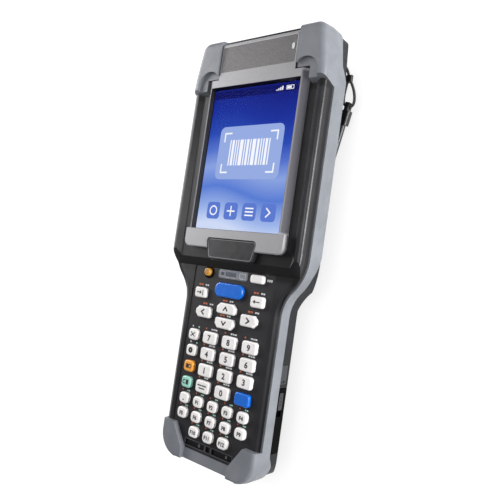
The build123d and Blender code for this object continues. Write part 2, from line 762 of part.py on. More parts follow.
sleeve_plane = Plane(
    origin=along_stylus(-sleeve_drop - sleeve_length),
    x_dir=(-stylus_lean[1], stylus_lean[0], 0),
    z_dir=stylus_lean,
)
board_posts = [(post_x, post_high_y), (-post_x, post_high_y), (post_x, post_low_y), (-post_x, post_low_y)]
with BuildPart() as rear_housing:
    extrude(draw_plan(0, band_wall + joint_gap), amount=seam_z)
    add(visible_side.part)
    add(back_form.part, mode=Mode.INTERSECT)
    add(head_hollow.part, mode=Mode.SUBTRACT)
    add(grip_hollow.part, mode=Mode.SUBTRACT)
    with BuildSketch(Plane.XY.offset(shell_wall)):
        with Locations((0, (hump_low_y + hump_high_y) / 2)):
            Rectangle(2 * (hump_half - shell_wall), hump_high_y - hump_low_y - 2 * hump_wall)
    extrude(amount=wing_back_z, mode=Mode.SUBTRACT)
    add(battery_bay.part, mode=Mode.SUBTRACT)
    # screw bosses, and posts that carry the main board
    with BuildSketch(Plane.XY.offset(boss_low_z)):
        with Locations(*corner_screws):
            Circle(screw_radius + boss_wall)
    extrude(amount=seam_z - boss_low_z)
    with BuildSketch(Plane.XY.offset(boss_low_z)):
        with Locations(*board_posts):
            Circle(post_radius)
    extrude(amount=board_z - boss_low_z)
    with BuildSketch(Plane.XY):
        with Locations(*corner_screws):
            Circle(screw_head_radius + screw_fit)
    extrude(amount=screw_seat_z, mode=Mode.SUBTRACT)
    with BuildSketch(Plane.XY):
        with Locations(*corner_screws):
            Circle(screw_radius + screw_fit)
    extrude(amount=seam_z, mode=Mode.SUBTRACT)
    # bore for the strap's pin through both lugs
    with BuildSketch(Plane.YZ.offset(-lug_x - lug_thickness / 2)):
        with Locations((pin_y, pin_z)):
            Circle(pin_radius + pin_fit)
    extrude(amount=2 * lug_x + lug_thickness, mode=Mode.SUBTRACT)
    # scan window's seat, and the opening behind it
    with BuildSketch(Plane.XZ.offset(-hump_high_y)):
        with Locations((0, scan_window_z)):
            Rectangle(scan_window_width + 2 * joint_gap, scan_window_height + 2 * joint_gap)
    extrude(amount=scan_window_thickness + joint_gap, mode=Mode.SUBTRACT)
    with BuildSketch(Plane.XZ.offset(-hump_high_y)):
        with Locations((0, scan_window_z)):
            Rectangle(scan_window_width - 2 * window_ledge, scan_window_height - 2 * window_ledge)
    extrude(amount=2 * hump_wall, mode=Mode.SUBTRACT)
    # jack cover's recess and the jack's hole behind it
    with BuildSketch(Plane.YZ.offset(battery_side_half - jack_thickness - joint_gap)):
        with Locations((jack_y, jack_z)):
            Rectangle(jack_length + 2 * slide_gap, jack_height + 2 * slide_gap)
    extrude(amount=jack_thickness + lip_inset, mode=Mode.SUBTRACT)
    with BuildSketch(Plane.YZ.offset(grip_half - hollow_inset - shell_wall)):
        with Locations((jack_y, jack_z)):
            Circle(jack_hole_radius)
    extrude(amount=battery_side_half - grip_half + hollow_inset, mode=Mode.SUBTRACT)
    # stylus sleeve, hung from the wing
    with BuildSketch(sleeve_plane):
        Circle(stylus_radius + sleeve_fit + sleeve_wall)
        with Locations((0, sleeve_web_height / 2)):
            Rectangle(sleeve_web, sleeve_web_height)
    extrude(amount=sleeve_length)
    with BuildSketch(sleeve_plane):
        Circle(stylus_radius + sleeve_fit)
    extrude(amount=sleeve_length, mode=Mode.SUBTRACT)
    # tether's lug, with the socket that holds its end
    with BuildSketch(Plane.XY.offset(tether_lug[2] - tether_lug_size[1] / 2)):
        with Locations(tether_lug[:2]):
            Rectangle(tether_lug_size[0], tether_lug_size[1])
    extrude(amount=tether_lug_size[2])
    with BuildSketch(Plane.YZ.offset(tether_lug[0] + tether_lug_size[0] / 2 - tether_socket_depth)):
        with Locations(tether_lug[1:]):
            Circle(tether_radius + joint_gap)
    extrude(amount=tether_socket_depth, mode=Mode.SUBTRACT)
save(rear_housing, "rear_housing")

# Housing screws, driven up from the back into the front cover
with BuildPart() as housing_screws:
    with BuildSketch(Plane.XY.offset(screw_seat_z - screw_head_depth)):
        with Locations(*corner_screws):
            Circle(screw_head_radius)
    extrude(amount=screw_head_depth)
    with BuildSketch(Plane.XY.offset(screw_seat_z)):
        with Locations(*corner_screws):
            Circle(screw_radius)
    extrude(amount=seam_z + screw_reach - screw_seat_z)
    with BuildSketch(Plane.XY.offset(screw_seat_z - screw_head_depth)):
        with Locations(*corner_screws):
            RegularPolygon(screw_socket_radius, 6)
    extrude(amount=screw_socket_depth, mode=Mode.SUBTRACT)
save(housing_screws, "housing_screws")

# Scan window and the engine behind it
with BuildPart() as scan_window:
    with BuildSketch(Plane.XZ.offset(-hump_high_y)):
        with Locations((0, scan_window_z)):
            Rectangle(scan_window_width, scan_window_height)
    extrude(amount=scan_window_thickness)
save(scan_window, "scan_window")

with BuildPart() as scan_engine:
    with BuildSketch(Plane.XY.offset(shell_wall + joint_gap)):
        with Locations((0, engine_y)):
            Rectangle(engine_width, engine_length)
    extrude(amount=engine_height)
    with BuildSketch(Plane.XZ.offset(-engine_y - engine_length / 2)):
        with Locations((engine_lens_x, scan_window_z)):
            Circle(engine_lens_radius)
    extrude(amount=-engine_lens_reach)
save(scan_engine, "scan_engine")

# Battery pack: its core fills the bay and its wide end makes the grip's sides
with BuildPart() as battery_pack:
    extrude(draw_plan(grip_back_z, grip_half - battery_side_half),
            amount=grip_band_z - battery_top_gap - grip_back_z)
    extrude(draw_across(battery_wide_y, grip_section), amount=battery_wide_y - battery_low_y,
            mode=Mode.INTERSECT)
    with BuildSketch(Plane.XY.offset(grip_back_z)):
        with Locations((0, (battery_low_y + battery_high_y) / 2)):
            Rectangle(2 * battery_core_half, battery_high_y - battery_low_y)
    extrude(amount=battery_core_z - grip_back_z)
    with BuildSketch(Plane.YZ.offset(battery_side_half - latch_depth - slide_gap)):
        with Locations((latch_y - latch_travel / 2, latch_z)):
            Rectangle(latch_length + latch_travel + 2 * slide_gap, latch_height + 2 * slide_gap)
    extrude(amount=latch_depth + slide_gap + cut_margin, mode=Mode.SUBTRACT)
save(battery_pack, "battery_pack")

with BuildPart() as battery_latch:
    with BuildSketch(Plane.YZ.offset(battery_side_half - latch_depth)):
        with Locations((latch_y, latch_z)):
            RectangleRounded(latch_length, latch_height, latch_corner)
    extrude(amount=latch_depth + latch_rise)
    with BuildSketch(Plane.YZ.offset(battery_side_half - latch_rise)):
        with GridLocations(latch_groove_pitch, 1, 3, 1):
            with Locations((latch_y, latch_z)):
                Rectangle(latch_rise, latch_height / 2)
    extrude(amount=2 * latch_rise, mode=Mode.SUBTRACT)
save(battery_latch, "battery_latch")

# Jack cover, a small rubber door that turns on the round edge nearer the head
with BuildPart() as jack_cover:
    with BuildSketch(Plane.YZ.offset(battery_side_half - jack_thickness)):
        with Locations((jack_y - jack_thickness / 4, jack_z)):
            Rectangle(jack_length - jack_thickness / 2, jack_height)
    extrude(amount=jack_thickness)
    with BuildSketch(Plane.XY.offset(jack_z - jack_height / 2)):
        with Locations((battery_side_half - jack_thickness / 2,
                        jack_y + jack_length / 2 - jack_thickness / 2)):
            Circle(jack_thickness / 2)
    extrude(amount=jack_height)
    with BuildSketch(Plane.YZ.offset(battery_side_half - jack_grip_depth)):
        with Locations((jack_y - jack_length / 2 + jack_grip_width, jack_z)):
            Rectangle(jack_grip_width, jack_grip_height)
    extrude(amount=jack_grip_depth, mode=Mode.SUBTRACT)
save(jack_cover, "jack_cover")

# Hand strap, looped round its pin, with a pad over the battery
with BuildPart() as hand_strap:
    with BuildSketch(Plane.YZ.offset(-strap_width / 2)):
        with Locations((pin_y, pin_z)):
            Circle(pin_radius + pin_fit + strap_loop_wall)
        with Locations(((pin_y + strap_low_y) / 2, pin_z)):
            Rectangle(pin_y - strap_low_y, strap_thickness)
        with Locations((pin_y, pin_z)):
            Circle(pin_radius + pin_fit, mode=Mode.SUBTRACT)
    extrude(amount=strap_width)
    with BuildSketch(Plane.XY.offset(pin_z - pad_thickness / 2)):
        with Locations((0, (pad_low_y + pad_high_y) / 2)):
            RectangleRounded(pad_width, pad_high_y - pad_low_y, pad_corner)
    extrude(amount=pad_thickness)
save(hand_strap, "hand_strap")

with BuildPart() as strap_pin:
    with BuildSketch(Plane.YZ.offset(-lug_x - lug_thickness / 2)):
        with Locations((pin_y, pin_z)):
            Circle(pin_radius)
    extrude(amount=2 * lug_x + lug_thickness)
save(strap_pin, "strap_pin")

# Stylus: tip, shaft, head and the eye that its tether passes through
stylus_plane = Plane(
    origin=along_stylus(-stylus_length),
    x_dir=(-stylus_lean[1], stylus_lean[0], 0),
    z_dir=stylus_lean,
)
with BuildPart() as stylus:
    with BuildSketch(stylus_plane):
        Circle(stylus_tip_radius)
    with BuildSketch(stylus_plane.offset(stylus_tip_length)):
        Circle(stylus_radius)
    loft(ruled=True)
    with BuildSketch(stylus_plane.offset(stylus_tip_length)):
        Circle(stylus_radius)
    extrude(amount=stylus_length - stylus_tip_length)
    with BuildSketch(stylus_plane.offset(stylus_length - stylus_head_length / 2)):
        RectangleRounded(stylus_head_width, stylus_head_thickness, stylus_head_corner)
    extrude(amount=stylus_head_length)
    with BuildSketch(stylus_plane.offset(stylus_length + stylus_head_length / 2)):
        Rectangle(eye_width, eye_thickness)
    extrude(amount=eye_length)
    eye_plane = Plane(
        origin=along_stylus(stylus_head_length / 2 + eye_drop),
        x_dir=stylus_plane.y_dir,
        z_dir=stylus_plane.x_dir,
    )
    with BuildSketch(eye_plane):
        Circle(eye_radius)
    extrude(amount=stylus_head_width, both=True, mode=Mode.SUBTRACT)
save(stylus, "stylus")


def corner_radii(route):
    """The largest tangent arc that fits at each corner of a cord's route."""
    radii = []
    for before, corner, after in zip(route, route[1:], route[2:]):
        first = Vector(*corner) - Vector(*before)
        second = Vector(*after) - Vector(*corner)
        half_turn = math.radians(first.get_angle(second) / 2)
        radii.append(cord_arc_share * min(first.length, second.length) / math.tan(half_turn))
    return radii


def run_cord(route):
    """A round cord along a route, with its corners rounded."""
    radii = corner_radii(route)
    with BuildPart() as cord:
        with BuildLine():
            path = FilletPolyline(*route, radius=radii)
        with BuildSketch(Plane(origin=path @ 0, z_dir=path % 0)):
            Circle(tether_radius)
        sweep(path=path)
    area = math.pi * tether_radius**2
    print("cord radii", [round(radius, 1) for radius in radii], "length", round(path.length, 1),
          "volume", round(cord.part.volume, 2), "section times length", round(area * path.length, 2))
    return cord.part


# Stylus tether: a limp cord from its lug to the crimp, and a loop on through the stylus's eye
with BuildPart() as stylus_tether:
    add(run_cord(tether_route))
    add(run_cord(loop_route))
save(stylus_tether, "stylus_tether")

with BuildPart() as tether_crimp:
    with BuildSketch(Plane.XZ.offset(-crimp_at[1] - crimp_size[1] / 2)):
        with Locations((crimp_at[0], crimp_at[2])):
            RectangleRounded(crimp_size[0], crimp_size[2], crimp_corner)
    extrude(amount=crimp_size[1])
save(tether_crimp, "tether_crimp")
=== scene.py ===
import math

import bmesh
import bpy
from mathutils import Matrix, Vector


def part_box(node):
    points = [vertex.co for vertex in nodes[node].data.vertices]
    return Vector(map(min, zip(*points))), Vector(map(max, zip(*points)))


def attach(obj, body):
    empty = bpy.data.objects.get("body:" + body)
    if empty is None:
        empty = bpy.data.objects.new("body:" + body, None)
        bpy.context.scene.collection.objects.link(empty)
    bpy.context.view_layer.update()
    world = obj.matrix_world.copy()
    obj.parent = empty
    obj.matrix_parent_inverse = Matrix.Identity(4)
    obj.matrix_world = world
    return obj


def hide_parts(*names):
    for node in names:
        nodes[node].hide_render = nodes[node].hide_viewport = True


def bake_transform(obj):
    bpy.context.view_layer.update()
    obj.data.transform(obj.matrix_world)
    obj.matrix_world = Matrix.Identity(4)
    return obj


# Portable barcode data terminal, lying on its back. Lengths below are millimetres; place() and
# the mesh helpers turn them into metres.

MM = 0.001
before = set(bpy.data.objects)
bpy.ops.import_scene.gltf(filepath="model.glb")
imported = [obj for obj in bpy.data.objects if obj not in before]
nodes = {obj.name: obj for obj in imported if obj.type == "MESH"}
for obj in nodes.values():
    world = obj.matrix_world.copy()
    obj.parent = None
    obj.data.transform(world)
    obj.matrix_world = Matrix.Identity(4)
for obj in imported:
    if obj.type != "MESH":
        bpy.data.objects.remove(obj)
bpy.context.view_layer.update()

# Camera fitted to the photograph: picture size and focal length in its pixels, place and axes
IMAGE_SIZE = 500
FOCAL_LENGTH = 540.0
SENSOR_WIDTH = 36.0
CAMERA_PLACE = (169.63, -12.62, 235.07)
CAMERA_RIGHT = (0.7765, 0.1435, -0.6135)
CAMERA_UP = (-0.0820, 0.9884, 0.1275)
CAMERA_AHEAD = (-0.6247, 0.0488, -0.7793)

# Stylus tether: its radius, and the route of its middle line
TETHER_RADIUS = 0.7
TETHER_ROUTE = [
    (23.2, 99.9, 10.0), (28.8, 99.9, 10.0), (33.2, 95.6, 9.1), (34.3, 91.2, 8.4),
    (35.3, 89.8, 8.4), (38.2, 84.6, 8.8), (39.9, 78.6, 9.6), (39.09, 75.49, 9.97),
    (34.82, 76.54, 9.97), (33.5, 79.6, 9.6), (33.2, 84.8, 8.8), (33.7, 89.8, 8.4),
]

# Studio: the floor in metres, and each lamp's name, place, target, size and watts
FLOOR_REACH = 4.0
FLOOR_HEIGHT = -0.00005
FLOOR_GREY = 0.45
FLOOR_GLOW = 0.68
WORLD_LEVEL = 0.3
LAMPS = (
    ("key_light", (-500, 180, 260), (0, 50, 35), (400, 280), 3.0),
    ("top_light", (260, 60, 600), (0, 60, 30), (220, 380), 1.5),
    ("side_light", (640, 60, 90), (0, 0, 30), (420, 150), 6.8),
)

# Heights that the marks and the trim lie on
PANEL_Z = 33.6
WINDOW_Z = 33.9
KEY_Z = 35.4
PLATE_RIM_Z = 38.69
RIDGE_Z = 39.38
DOCK_RIM_Z = 33.59
DOCK_CONTACT_Z = 32.9
INK_THICKNESS = 0.02
FILM_THICKNESS = 0.01
PICTURE_THICKNESS = 0.015

# Surface variation: sizes of the blotches, and shares by which gloss and colour vary
CLOUD_SIZE = 9.0
GLOSS_SIZE = 2.5
GLOSS_SWING = 0.12
KEY_SHADE = 0.93
INK_SHADE = 0.88

# Axes of a coordinate, and the half width of the soft edge between two zones
X, Y, Z = 0, 1, 2
SOFT_EDGE = 0.15

# Zones of the front cover, as (low, high). The chin is darkened as painted shade; a band under the caps'
# feet and the moulding's foot, up to a height that rises across the neck, are painted black as painted
# shadow.
COVER_ROUGHNESS = 0.34
PANEL_ROUGHNESS = 0.55
CHIN_X, CHIN_Y = (-38.0, 38.0), (-13.0, 8.0)
CAP_FOOT_SHADOW_Y = (74.8, 76.0)
NECK_Y = (-16.0, -8.0)
FOOT_SHADOW_Z = (33.3, 34.8)
KEYPAD_X, KEYPAD_Y, KEYPAD_Z = (-25.4, 25.4), (-100.5, -10.7), (33.3, 33.8)

# Zones of the rear housing and of the bezel
LABEL_X, LABEL_Y, LABEL_Z = (-12.0, 12.0), (40.0, 76.0), (-0.5, 0.3)
LABEL_BORDER = 1.0
TOP_PLATE_X, TOP_PLATE_Y = (-22.9, 22.9), (88.6, 101.8)
# On the bezel, painted light and shade: its outer strip beside the screen darker, the bar below the screen
# a little lighter, and near black beside the caps and inside the screen's hole.
STRIP_X, STRIP_Y = (27.4, 28.6), (8.6, 84.0)
BAR_Y = (6.8, 8.6)
CAP_GAP_SHADOW_X, CAP_GAP_SHADOW_Y = (23.5, 23.8), (84.8, 85.1)
SCREEN_HOLE_X, SCREEN_HOLE_Y = (-27.65, 27.65), (7.95, 81.05)

# Plain plastics: node, material, darker and lighter colour, roughness, size and depth of the grain
PLASTICS = (
    ("name_plate", "plate_dark", (32, 32, 34), (42, 42, 45), 0.34, 0.3, 0.01),
    ("display_module", "display_frame", (8, 8, 10), (12, 12, 16), 0.5, 0.3, 0.004),
    ("battery_latch", "latch_grey", (30, 30, 32), (40, 40, 43), 0.4, 0.25, 0.008),
    ("jack_cover", "cover_rubber", (36, 38, 41), (46, 48, 52), 0.6, 0.2, 0.02),
    ("scan_engine", "engine_black", (18, 18, 19), (26, 26, 28), 0.4, 0.3, 0.01),
    ("main_board", "board_green", (20, 84, 48), (28, 100, 58), 0.45, 0.8, 0.02),
    ("keypad_mat", "mat_grey", (80, 80, 84), (96, 96, 100), 0.65, 0.3, 0.01),
    ("stylus", "stylus_black", (20, 20, 22), (28, 28, 30), 0.34, 0.3, 0.006),
    ("tether_crimp", "crimp_black", (18, 18, 19), (26, 26, 27), 0.45, 0.2, 0.01),
)
COLORED_KEYS = (
    ("key_blue", (10, 98, 198), ("key_scan", "key_enter")),
    ("key_orange", (234, 158, 62), ("key_orange",)),
    ("key_green", (152, 208, 192), ("key_green",)),
    ("key_amber", (206, 150, 62), ("key_power",)),
)
INK_COLORS = {"grey": (34, 33, 38), "brown": (80, 50, 18), "orange": (186, 92, 50),
              "green": (158, 208, 190), "white": (206, 206, 208)}

# Display picture: its size, the places of its marks and the colours from its foot to its top
SCREEN_Y = 44.5
PICTURE = (55.8, 72.4)
STATUS_Y = SCREEN_Y + PICTURE[1] / 2 - 2.6
BATTERY_X = 19.8
SIGNAL_X = 11.8
TILE_X = (-17.4, -5.8, 5.8, 17.4)
TILE_Y = SCREEN_Y - 26.5
TILE_SIDE = 8.6
CODE_Y = SCREEN_Y + 3.0
CODE_HALF = (12.5, 6.5)
CODE_BARS = (0.7, 1.4, 0.7, 0.7, 2.1, 0.7, 1.4, 0.7, 2.1, 1.4, 0.7, 0.7, 1.4, 0.7)
BAR_GAP = 0.75
BRACKET = (16.5, 10.0)
SWEEP_RATE = 0.085
SWEEP_RISE = 0.05
PICTURE_STOPS = (
    (0.0, (206, 218, 246)), (0.1, (158, 182, 234)), (0.26, (88, 124, 212)), (0.4, (138, 162, 224)),
    (0.52, (84, 114, 204)), (0.64, (42, 74, 178)), (0.8, (28, 50, 156)), (1.0, (22, 32, 126)),
)

# Print on the keys: size, boldness and how far below the key's middle; widths of the signs' lines;
# and for six keys with two small words above them, where these start from the key's middle
DIGIT_PRINT = (3.9, 0.14, 0.2)
FUNCTION_PRINT = (2.5, 0.12, 0.3)
CHEVRON_WIDTH = 0.75
SIGN_WIDTH = 0.5
WORD_GAP = 0.3
ARROW_MARKS = (("key_tab", -3.0, 3.6), ("key_back", -3.6, 3.7), ("key_left", -1.8, 3.8),
               ("key_right", -2.0, 3.9), ("key_up", -3.8, 3.35), ("key_down", -4.2, 3.3))

# Hand strap: pin, webbing, its loop round the pin, stitches and pad
PIN_Y = 9.0
PIN_Z = 3.2
STRAP_WIDTH = 24.6
STRAP_LOW_Y = -96.4
LAYER = 1.05
LAYER_GAP = 0.02
LOOP_START = 6.0
NECK = (3.4, 0.75)
LOOP_RADIUS = 2.1
LOOP_HALF_TURN = 140
STITCHED_Y = -13.0
STITCH_ROWS = (-12.0, -8.5, -5.0)
STITCH_COLUMNS = 12
STITCH_PITCH = 1.9
STITCH = (1.3, 0.35, 0.17)
STITCH_THICKNESS = 0.12
WEBBING_SHARE = 0.95
PAD = (31.0, 56.0, 4.1)
PAD_Y = -44.0
PAD_MESH = (32, 56)
PAD_CORNER = 5.0
PAD_EDGE = 1.2
PAD_BORDER = 3.0
PAD_RISE = 7.0
PAD_RIM_SHARE = 0.42

# Status window, and the dock slots at the grip's end
WINDOW_Y = -13.1
DOCK_SLOT_X = 8.8
DOCK_Y = -97.7


def place(point):
    return Vector(point) * MM


# ---------------------------------------------------------------- camera, light and floor


def add_camera():
    data = bpy.data.cameras.new("camera")
    data.sensor_width = SENSOR_WIDTH
    data.lens = FOCAL_LENGTH / IMAGE_SIZE * SENSOR_WIDTH
    data.clip_start = 0.01
    camera = bpy.data.objects.new("camera", data)
    right, up, back = Vector(CAMERA_RIGHT), Vector(CAMERA_UP), -Vector(CAMERA_AHEAD)
    turn = Matrix((right, up, back)).transposed().to_4x4()
    camera.matrix_world = Matrix.Translation(place(CAMERA_PLACE)) @ turn
    bpy.context.collection.objects.link(camera)
    bpy.context.scene.camera = camera


def add_lamp(name, position, target, size, power):
    data = bpy.data.lights.new(name, "AREA")
    data.shape = "RECTANGLE"
    data.size, data.size_y = (side * MM for side in size)
    data.energy = power
    lamp = bpy.data.objects.new(name, data)
    lamp.location = place(position)
    lamp.rotation_euler = (place(target) - place(position)).to_track_quat("-Z", "Y").to_euler()
    bpy.context.collection.objects.link(lamp)


def light_world(level):
    """Even light of a given level from a backdrop that looks white to the camera."""
    world = bpy.data.worlds.new("studio")
    world.use_nodes = True
    tree = world.node_tree
    background = tree.nodes["Background"]
    background.inputs["Color"].default_value = (1.0, 1.0, 1.0, 1.0)
    path = tree.nodes.new("ShaderNodeLightPath")
    seen = add_math(tree, "MAXIMUM", path.outputs["Is Camera Ray"], path.outputs["Is Transmission Ray"])
    strength = map_range(tree, seen, 0.0, 1.0, level, 1.0)
    tree.links.new(strength, background.inputs["Strength"])
    bpy.context.scene.world = world


def add_floor():
    """A pale floor that looks white to the camera, in gloss and through glass, and takes a faint shadow."""
    mesh = bpy.data.meshes.new("floor")
    corners = [(x * FLOOR_REACH, y * FLOOR_REACH, FLOOR_HEIGHT)
               for x, y in ((-1, -1), (1, -1), (1, 1), (-1, 1))]
    mesh.from_pydata(corners, [], [(0, 1, 2, 3)])
    floor = bpy.data.objects.new("floor", mesh)
    bpy.context.collection.objects.link(floor)
    material = bpy.data.materials.new("floor")
    material.use_nodes = True
    tree = material.node_tree
    tree.nodes.clear()
    path = tree.nodes.new("ShaderNodeLightPath")
    sees = add_math(tree, "MAXIMUM", path.outputs["Is Camera Ray"], path.outputs["Is Glossy Ray"])
    sees = add_math(tree, "MAXIMUM", sees, path.outputs["Is Transmission Ray"])
    diffuse = tree.nodes.new("ShaderNodeBsdfDiffuse")
    diffuse.inputs["Color"].default_value = (FLOOR_GREY, FLOOR_GREY, FLOOR_GREY, 1)
    glow = tree.nodes.new("ShaderNodeEmission")
    glow.inputs["Strength"].default_value = FLOOR_GLOW
    both = tree.nodes.new("ShaderNodeAddShader")
    tree.links.new(diffuse.outputs[0], both.inputs[0])
    tree.links.new(glow.outputs[0], both.inputs[1])
    choice = tree.nodes.new("ShaderNodeMixShader")
    tree.links.new(sees, choice.inputs[0])
    tree.links.new(diffuse.outputs[0], choice.inputs[1])
    tree.links.new(both.outputs[0], choice.inputs[2])
    output = tree.nodes.new("ShaderNodeOutputMaterial")
    tree.links.new(choice.outputs[0], output.inputs["Surface"])
    mesh.materials.append(material)


# ---------------------------------------------------------------- material helpers


def srgb(red, green, blue):
    """A colour given in 0 to 255 steps, as linear light."""
    def linear(step):
        level = step / 255
        return level / 12.92 if level <= 0.04045 else ((level + 0.055) / 1.055) ** 2.4
    return tuple(linear(step) for step in (red, green, blue))


def add_math(tree, operation, first, second=0.0):
    math_node = tree.nodes.new("ShaderNodeMath")
    math_node.operation = operation
    for socket, value in zip(math_node.inputs, (first, second)):
        if isinstance(value, bpy.types.NodeSocket):
            tree.links.new(value, socket)
        else:
            socket.default_value = value
    return math_node.outputs[0]


def new_material(name, color, roughness, **constants):
    """A material with constants set on the shader's own sockets, named with _ for their spaces."""
    material = bpy.data.materials.new(name)
    material.use_nodes = True
    shader = get_shader(material)
    shader.inputs["Base Color"].default_value = (*color, 1)
    shader.inputs["Roughness"].default_value = roughness
    for socket, value in constants.items():
        shader.inputs[socket.replace("_", " ")].default_value = value
    return material


def get_shader(material):
    return material.node_tree.nodes["Principled BSDF"]


def object_point(tree, scale=(1, 1, 1)):
    """Object coordinates in millimetres, stretched by a scale on each axis."""
    coordinates = tree.nodes.new("ShaderNodeTexCoord")
    stretch = tree.nodes.new("ShaderNodeMapping")
    stretch.inputs["Scale"].default_value = tuple(side / MM for side in scale)
    tree.links.new(coordinates.outputs["Object"], stretch.inputs["Vector"])
    return stretch.outputs["Vector"]


def add_noise(tree, size, detail=3.0, scale=(1, 1, 1)):
    """Noise whose blotches are about the given size in millimetres."""
    noise = tree.nodes.new("ShaderNodeTexNoise")
    noise.inputs["Scale"].default_value = 1 / size
    noise.inputs["Detail"].default_value = detail
    tree.links.new(object_point(tree, scale), noise.inputs["Vector"])
    return noise.outputs[0]


def map_range(tree, value, from_low, from_high, to_low=0.0, to_high=1.0):
    span = tree.nodes.new("ShaderNodeMapRange")
    tree.links.new(value, span.inputs["Value"])
    for socket, number in (("From Min", from_low), ("From Max", from_high),
                           ("To Min", to_low), ("To Max", to_high)):
        span.inputs[socket].default_value = number
    return span.outputs["Result"]


def mix_colors(tree, factor, first, second):
    mix = tree.nodes.new("ShaderNodeMix")
    mix.data_type = "RGBA"
    tree.links.new(factor, mix.inputs["Factor"])
    for socket, value in ((mix.inputs[6], first), (mix.inputs[7], second)):
        if isinstance(value, bpy.types.NodeSocket):
            tree.links.new(value, socket)
        else:
            socket.default_value = (*value, 1)
    return mix.outputs[2]


def axis_value(tree, axis):
    """One object coordinate in millimetres."""
    split = tree.nodes.new("ShaderNodeSeparateXYZ")
    tree.links.new(object_point(tree), split.inputs[0])
    return split.outputs[axis]


def inside_range(tree, axis, low, high, soft=SOFT_EDGE):
    """1 between two values of a coordinate, 0 outside, with a soft edge in millimetres."""
    value = axis_value(tree, axis)
    rise = map_range(tree, value, low - soft, low + soft)
    fall = map_range(tree, value, high - soft, high + soft, 1.0, 0.0)
    return add_math(tree, "MULTIPLY", rise, fall)


def inside_box(tree, x_range, y_range, soft=SOFT_EDGE):
    """1 inside a rectangle as it is seen from above, 0 outside."""
    return add_math(tree, "MULTIPLY", inside_range(tree, X, *x_range, soft),
                    inside_range(tree, Y, *y_range, soft))


def linked_color(material):
    """The colour that goes into the shader so far."""
    return get_shader(material).inputs["Base Color"].links[0].from_socket


def link_color(material, color):
    material.node_tree.links.new(color, get_shader(material).inputs["Base Color"])


def link_roughness(material, roughness):
    material.node_tree.links.new(roughness, get_shader(material).inputs["Roughness"])


def add_bump(material, height, depth):
    """A bump of a real depth in millimetres, on top of those that are there already."""
    tree = material.node_tree
    normal = get_shader(material).inputs["Normal"]
    bump = tree.nodes.new("ShaderNodeBump")
    bump.inputs["Distance"].default_value = depth * MM
    tree.links.new(height, bump.inputs["Height"])
    if normal.is_linked:
        tree.links.new(normal.links[0].from_socket, bump.inputs["Normal"])
    tree.links.new(bump.outputs[0], normal)


def moulded(name, dark, light, roughness, grain_size, grain_depth, **constants):
    """Moulded plastic or rubber: slow colour variation, uneven gloss and a fine grain."""
    material = new_material(name, light, roughness, **constants)
    tree = material.node_tree
    slow = map_range(tree, add_noise(tree, CLOUD_SIZE), 0.35, 0.65)
    link_color(material, mix_colors(tree, slow, dark, light))
    uneven = map_range(tree, add_noise(tree, GLOSS_SIZE, detail=5.0), 0.3, 0.7,
                       roughness * (1 - GLOSS_SWING), roughness * (1 + GLOSS_SWING))
    link_roughness(material, uneven)
    add_bump(material, add_noise(tree, grain_size, detail=2.0), grain_depth)
    return material


# ---------------------------------------------------------------- materials


def make_elastomer():
    return moulded("elastomer", srgb(106, 109, 115), srgb(116, 119, 125), 0.42, 0.16, 0.012)


def make_cover_black():
    """The front moulding: satin rims, a chin darkened as painted shade, painted black shadow under the
    caps' feet and along its foot, and a finely grained keypad face.
    """
    material = moulded("cover_black", srgb(28, 28, 31), srgb(36, 36, 39), COVER_ROUGHNESS, 0.12, 0.004,
                       Specular_IOR_Level=0.34)
    tree = material.node_tree
    # Painted shade: the chin below the screen, darker than the rest of the moulding.
    chin = inside_box(tree, CHIN_X, CHIN_Y, soft=2.0)
    color = mix_colors(tree, chin, linked_color(material), srgb(11, 11, 13))
    # Painted shadow: near black under the caps' feet, and on the moulding's foot where the groove above the
    # bumper band lies in shade.
    cap_foot_shadow = map_range(tree, axis_value(tree, Y), *CAP_FOOT_SHADOW_Y)
    foot_top = map_range(tree, axis_value(tree, Y), *NECK_Y, *FOOT_SHADOW_Z)
    above_foot = add_math(tree, "SUBTRACT", foot_top, axis_value(tree, Z))
    foot = map_range(tree, above_foot, -SOFT_EDGE, SOFT_EDGE)
    color = mix_colors(tree, add_math(tree, "MAXIMUM", cap_foot_shadow, foot), color, srgb(4, 4, 5))
    panel = add_math(tree, "MULTIPLY", inside_box(tree, KEYPAD_X, KEYPAD_Y),
                     inside_range(tree, Z, *KEYPAD_Z, soft=0.05))
    speckle = map_range(tree, add_noise(tree, 0.25, detail=2.0), 0.4, 0.6)
    grained = mix_colors(tree, speckle, srgb(24, 23, 26), srgb(33, 31, 35))
    link_color(material, mix_colors(tree, panel, color, grained))
    link_roughness(material, map_range(tree, panel, 0.0, 1.0, COVER_ROUGHNESS, PANEL_ROUGHNESS))
    return material


def make_rear_grey():
    """The rear moulding, with a blank silver label on the flat of its hump."""
    material = moulded("rear_grey", srgb(20, 22, 25), srgb(28, 30, 33), 0.5, 0.22, 0.02,
                       Specular_IOR_Level=0.2)
    tree = material.node_tree
    on_label = add_math(tree, "MULTIPLY", inside_range(tree, Z, *LABEL_Z, soft=0.05),
                        inside_box(tree, LABEL_X, LABEL_Y, soft=0.05))
    inner_x, inner_y = ((low + LABEL_BORDER, high - LABEL_BORDER) for low, high in (LABEL_X, LABEL_Y))
    field = inside_box(tree, inner_x, inner_y, soft=0.05)
    foil = map_range(tree, add_noise(tree, 0.4, scale=(1, 0.05, 1)), 0.3, 0.7)
    silver = mix_colors(tree, foil, srgb(132, 132, 134), srgb(150, 150, 152))
    label = mix_colors(tree, field, srgb(70, 70, 74), silver)
    link_color(material, mix_colors(tree, on_label, linked_color(material), label))
    return material


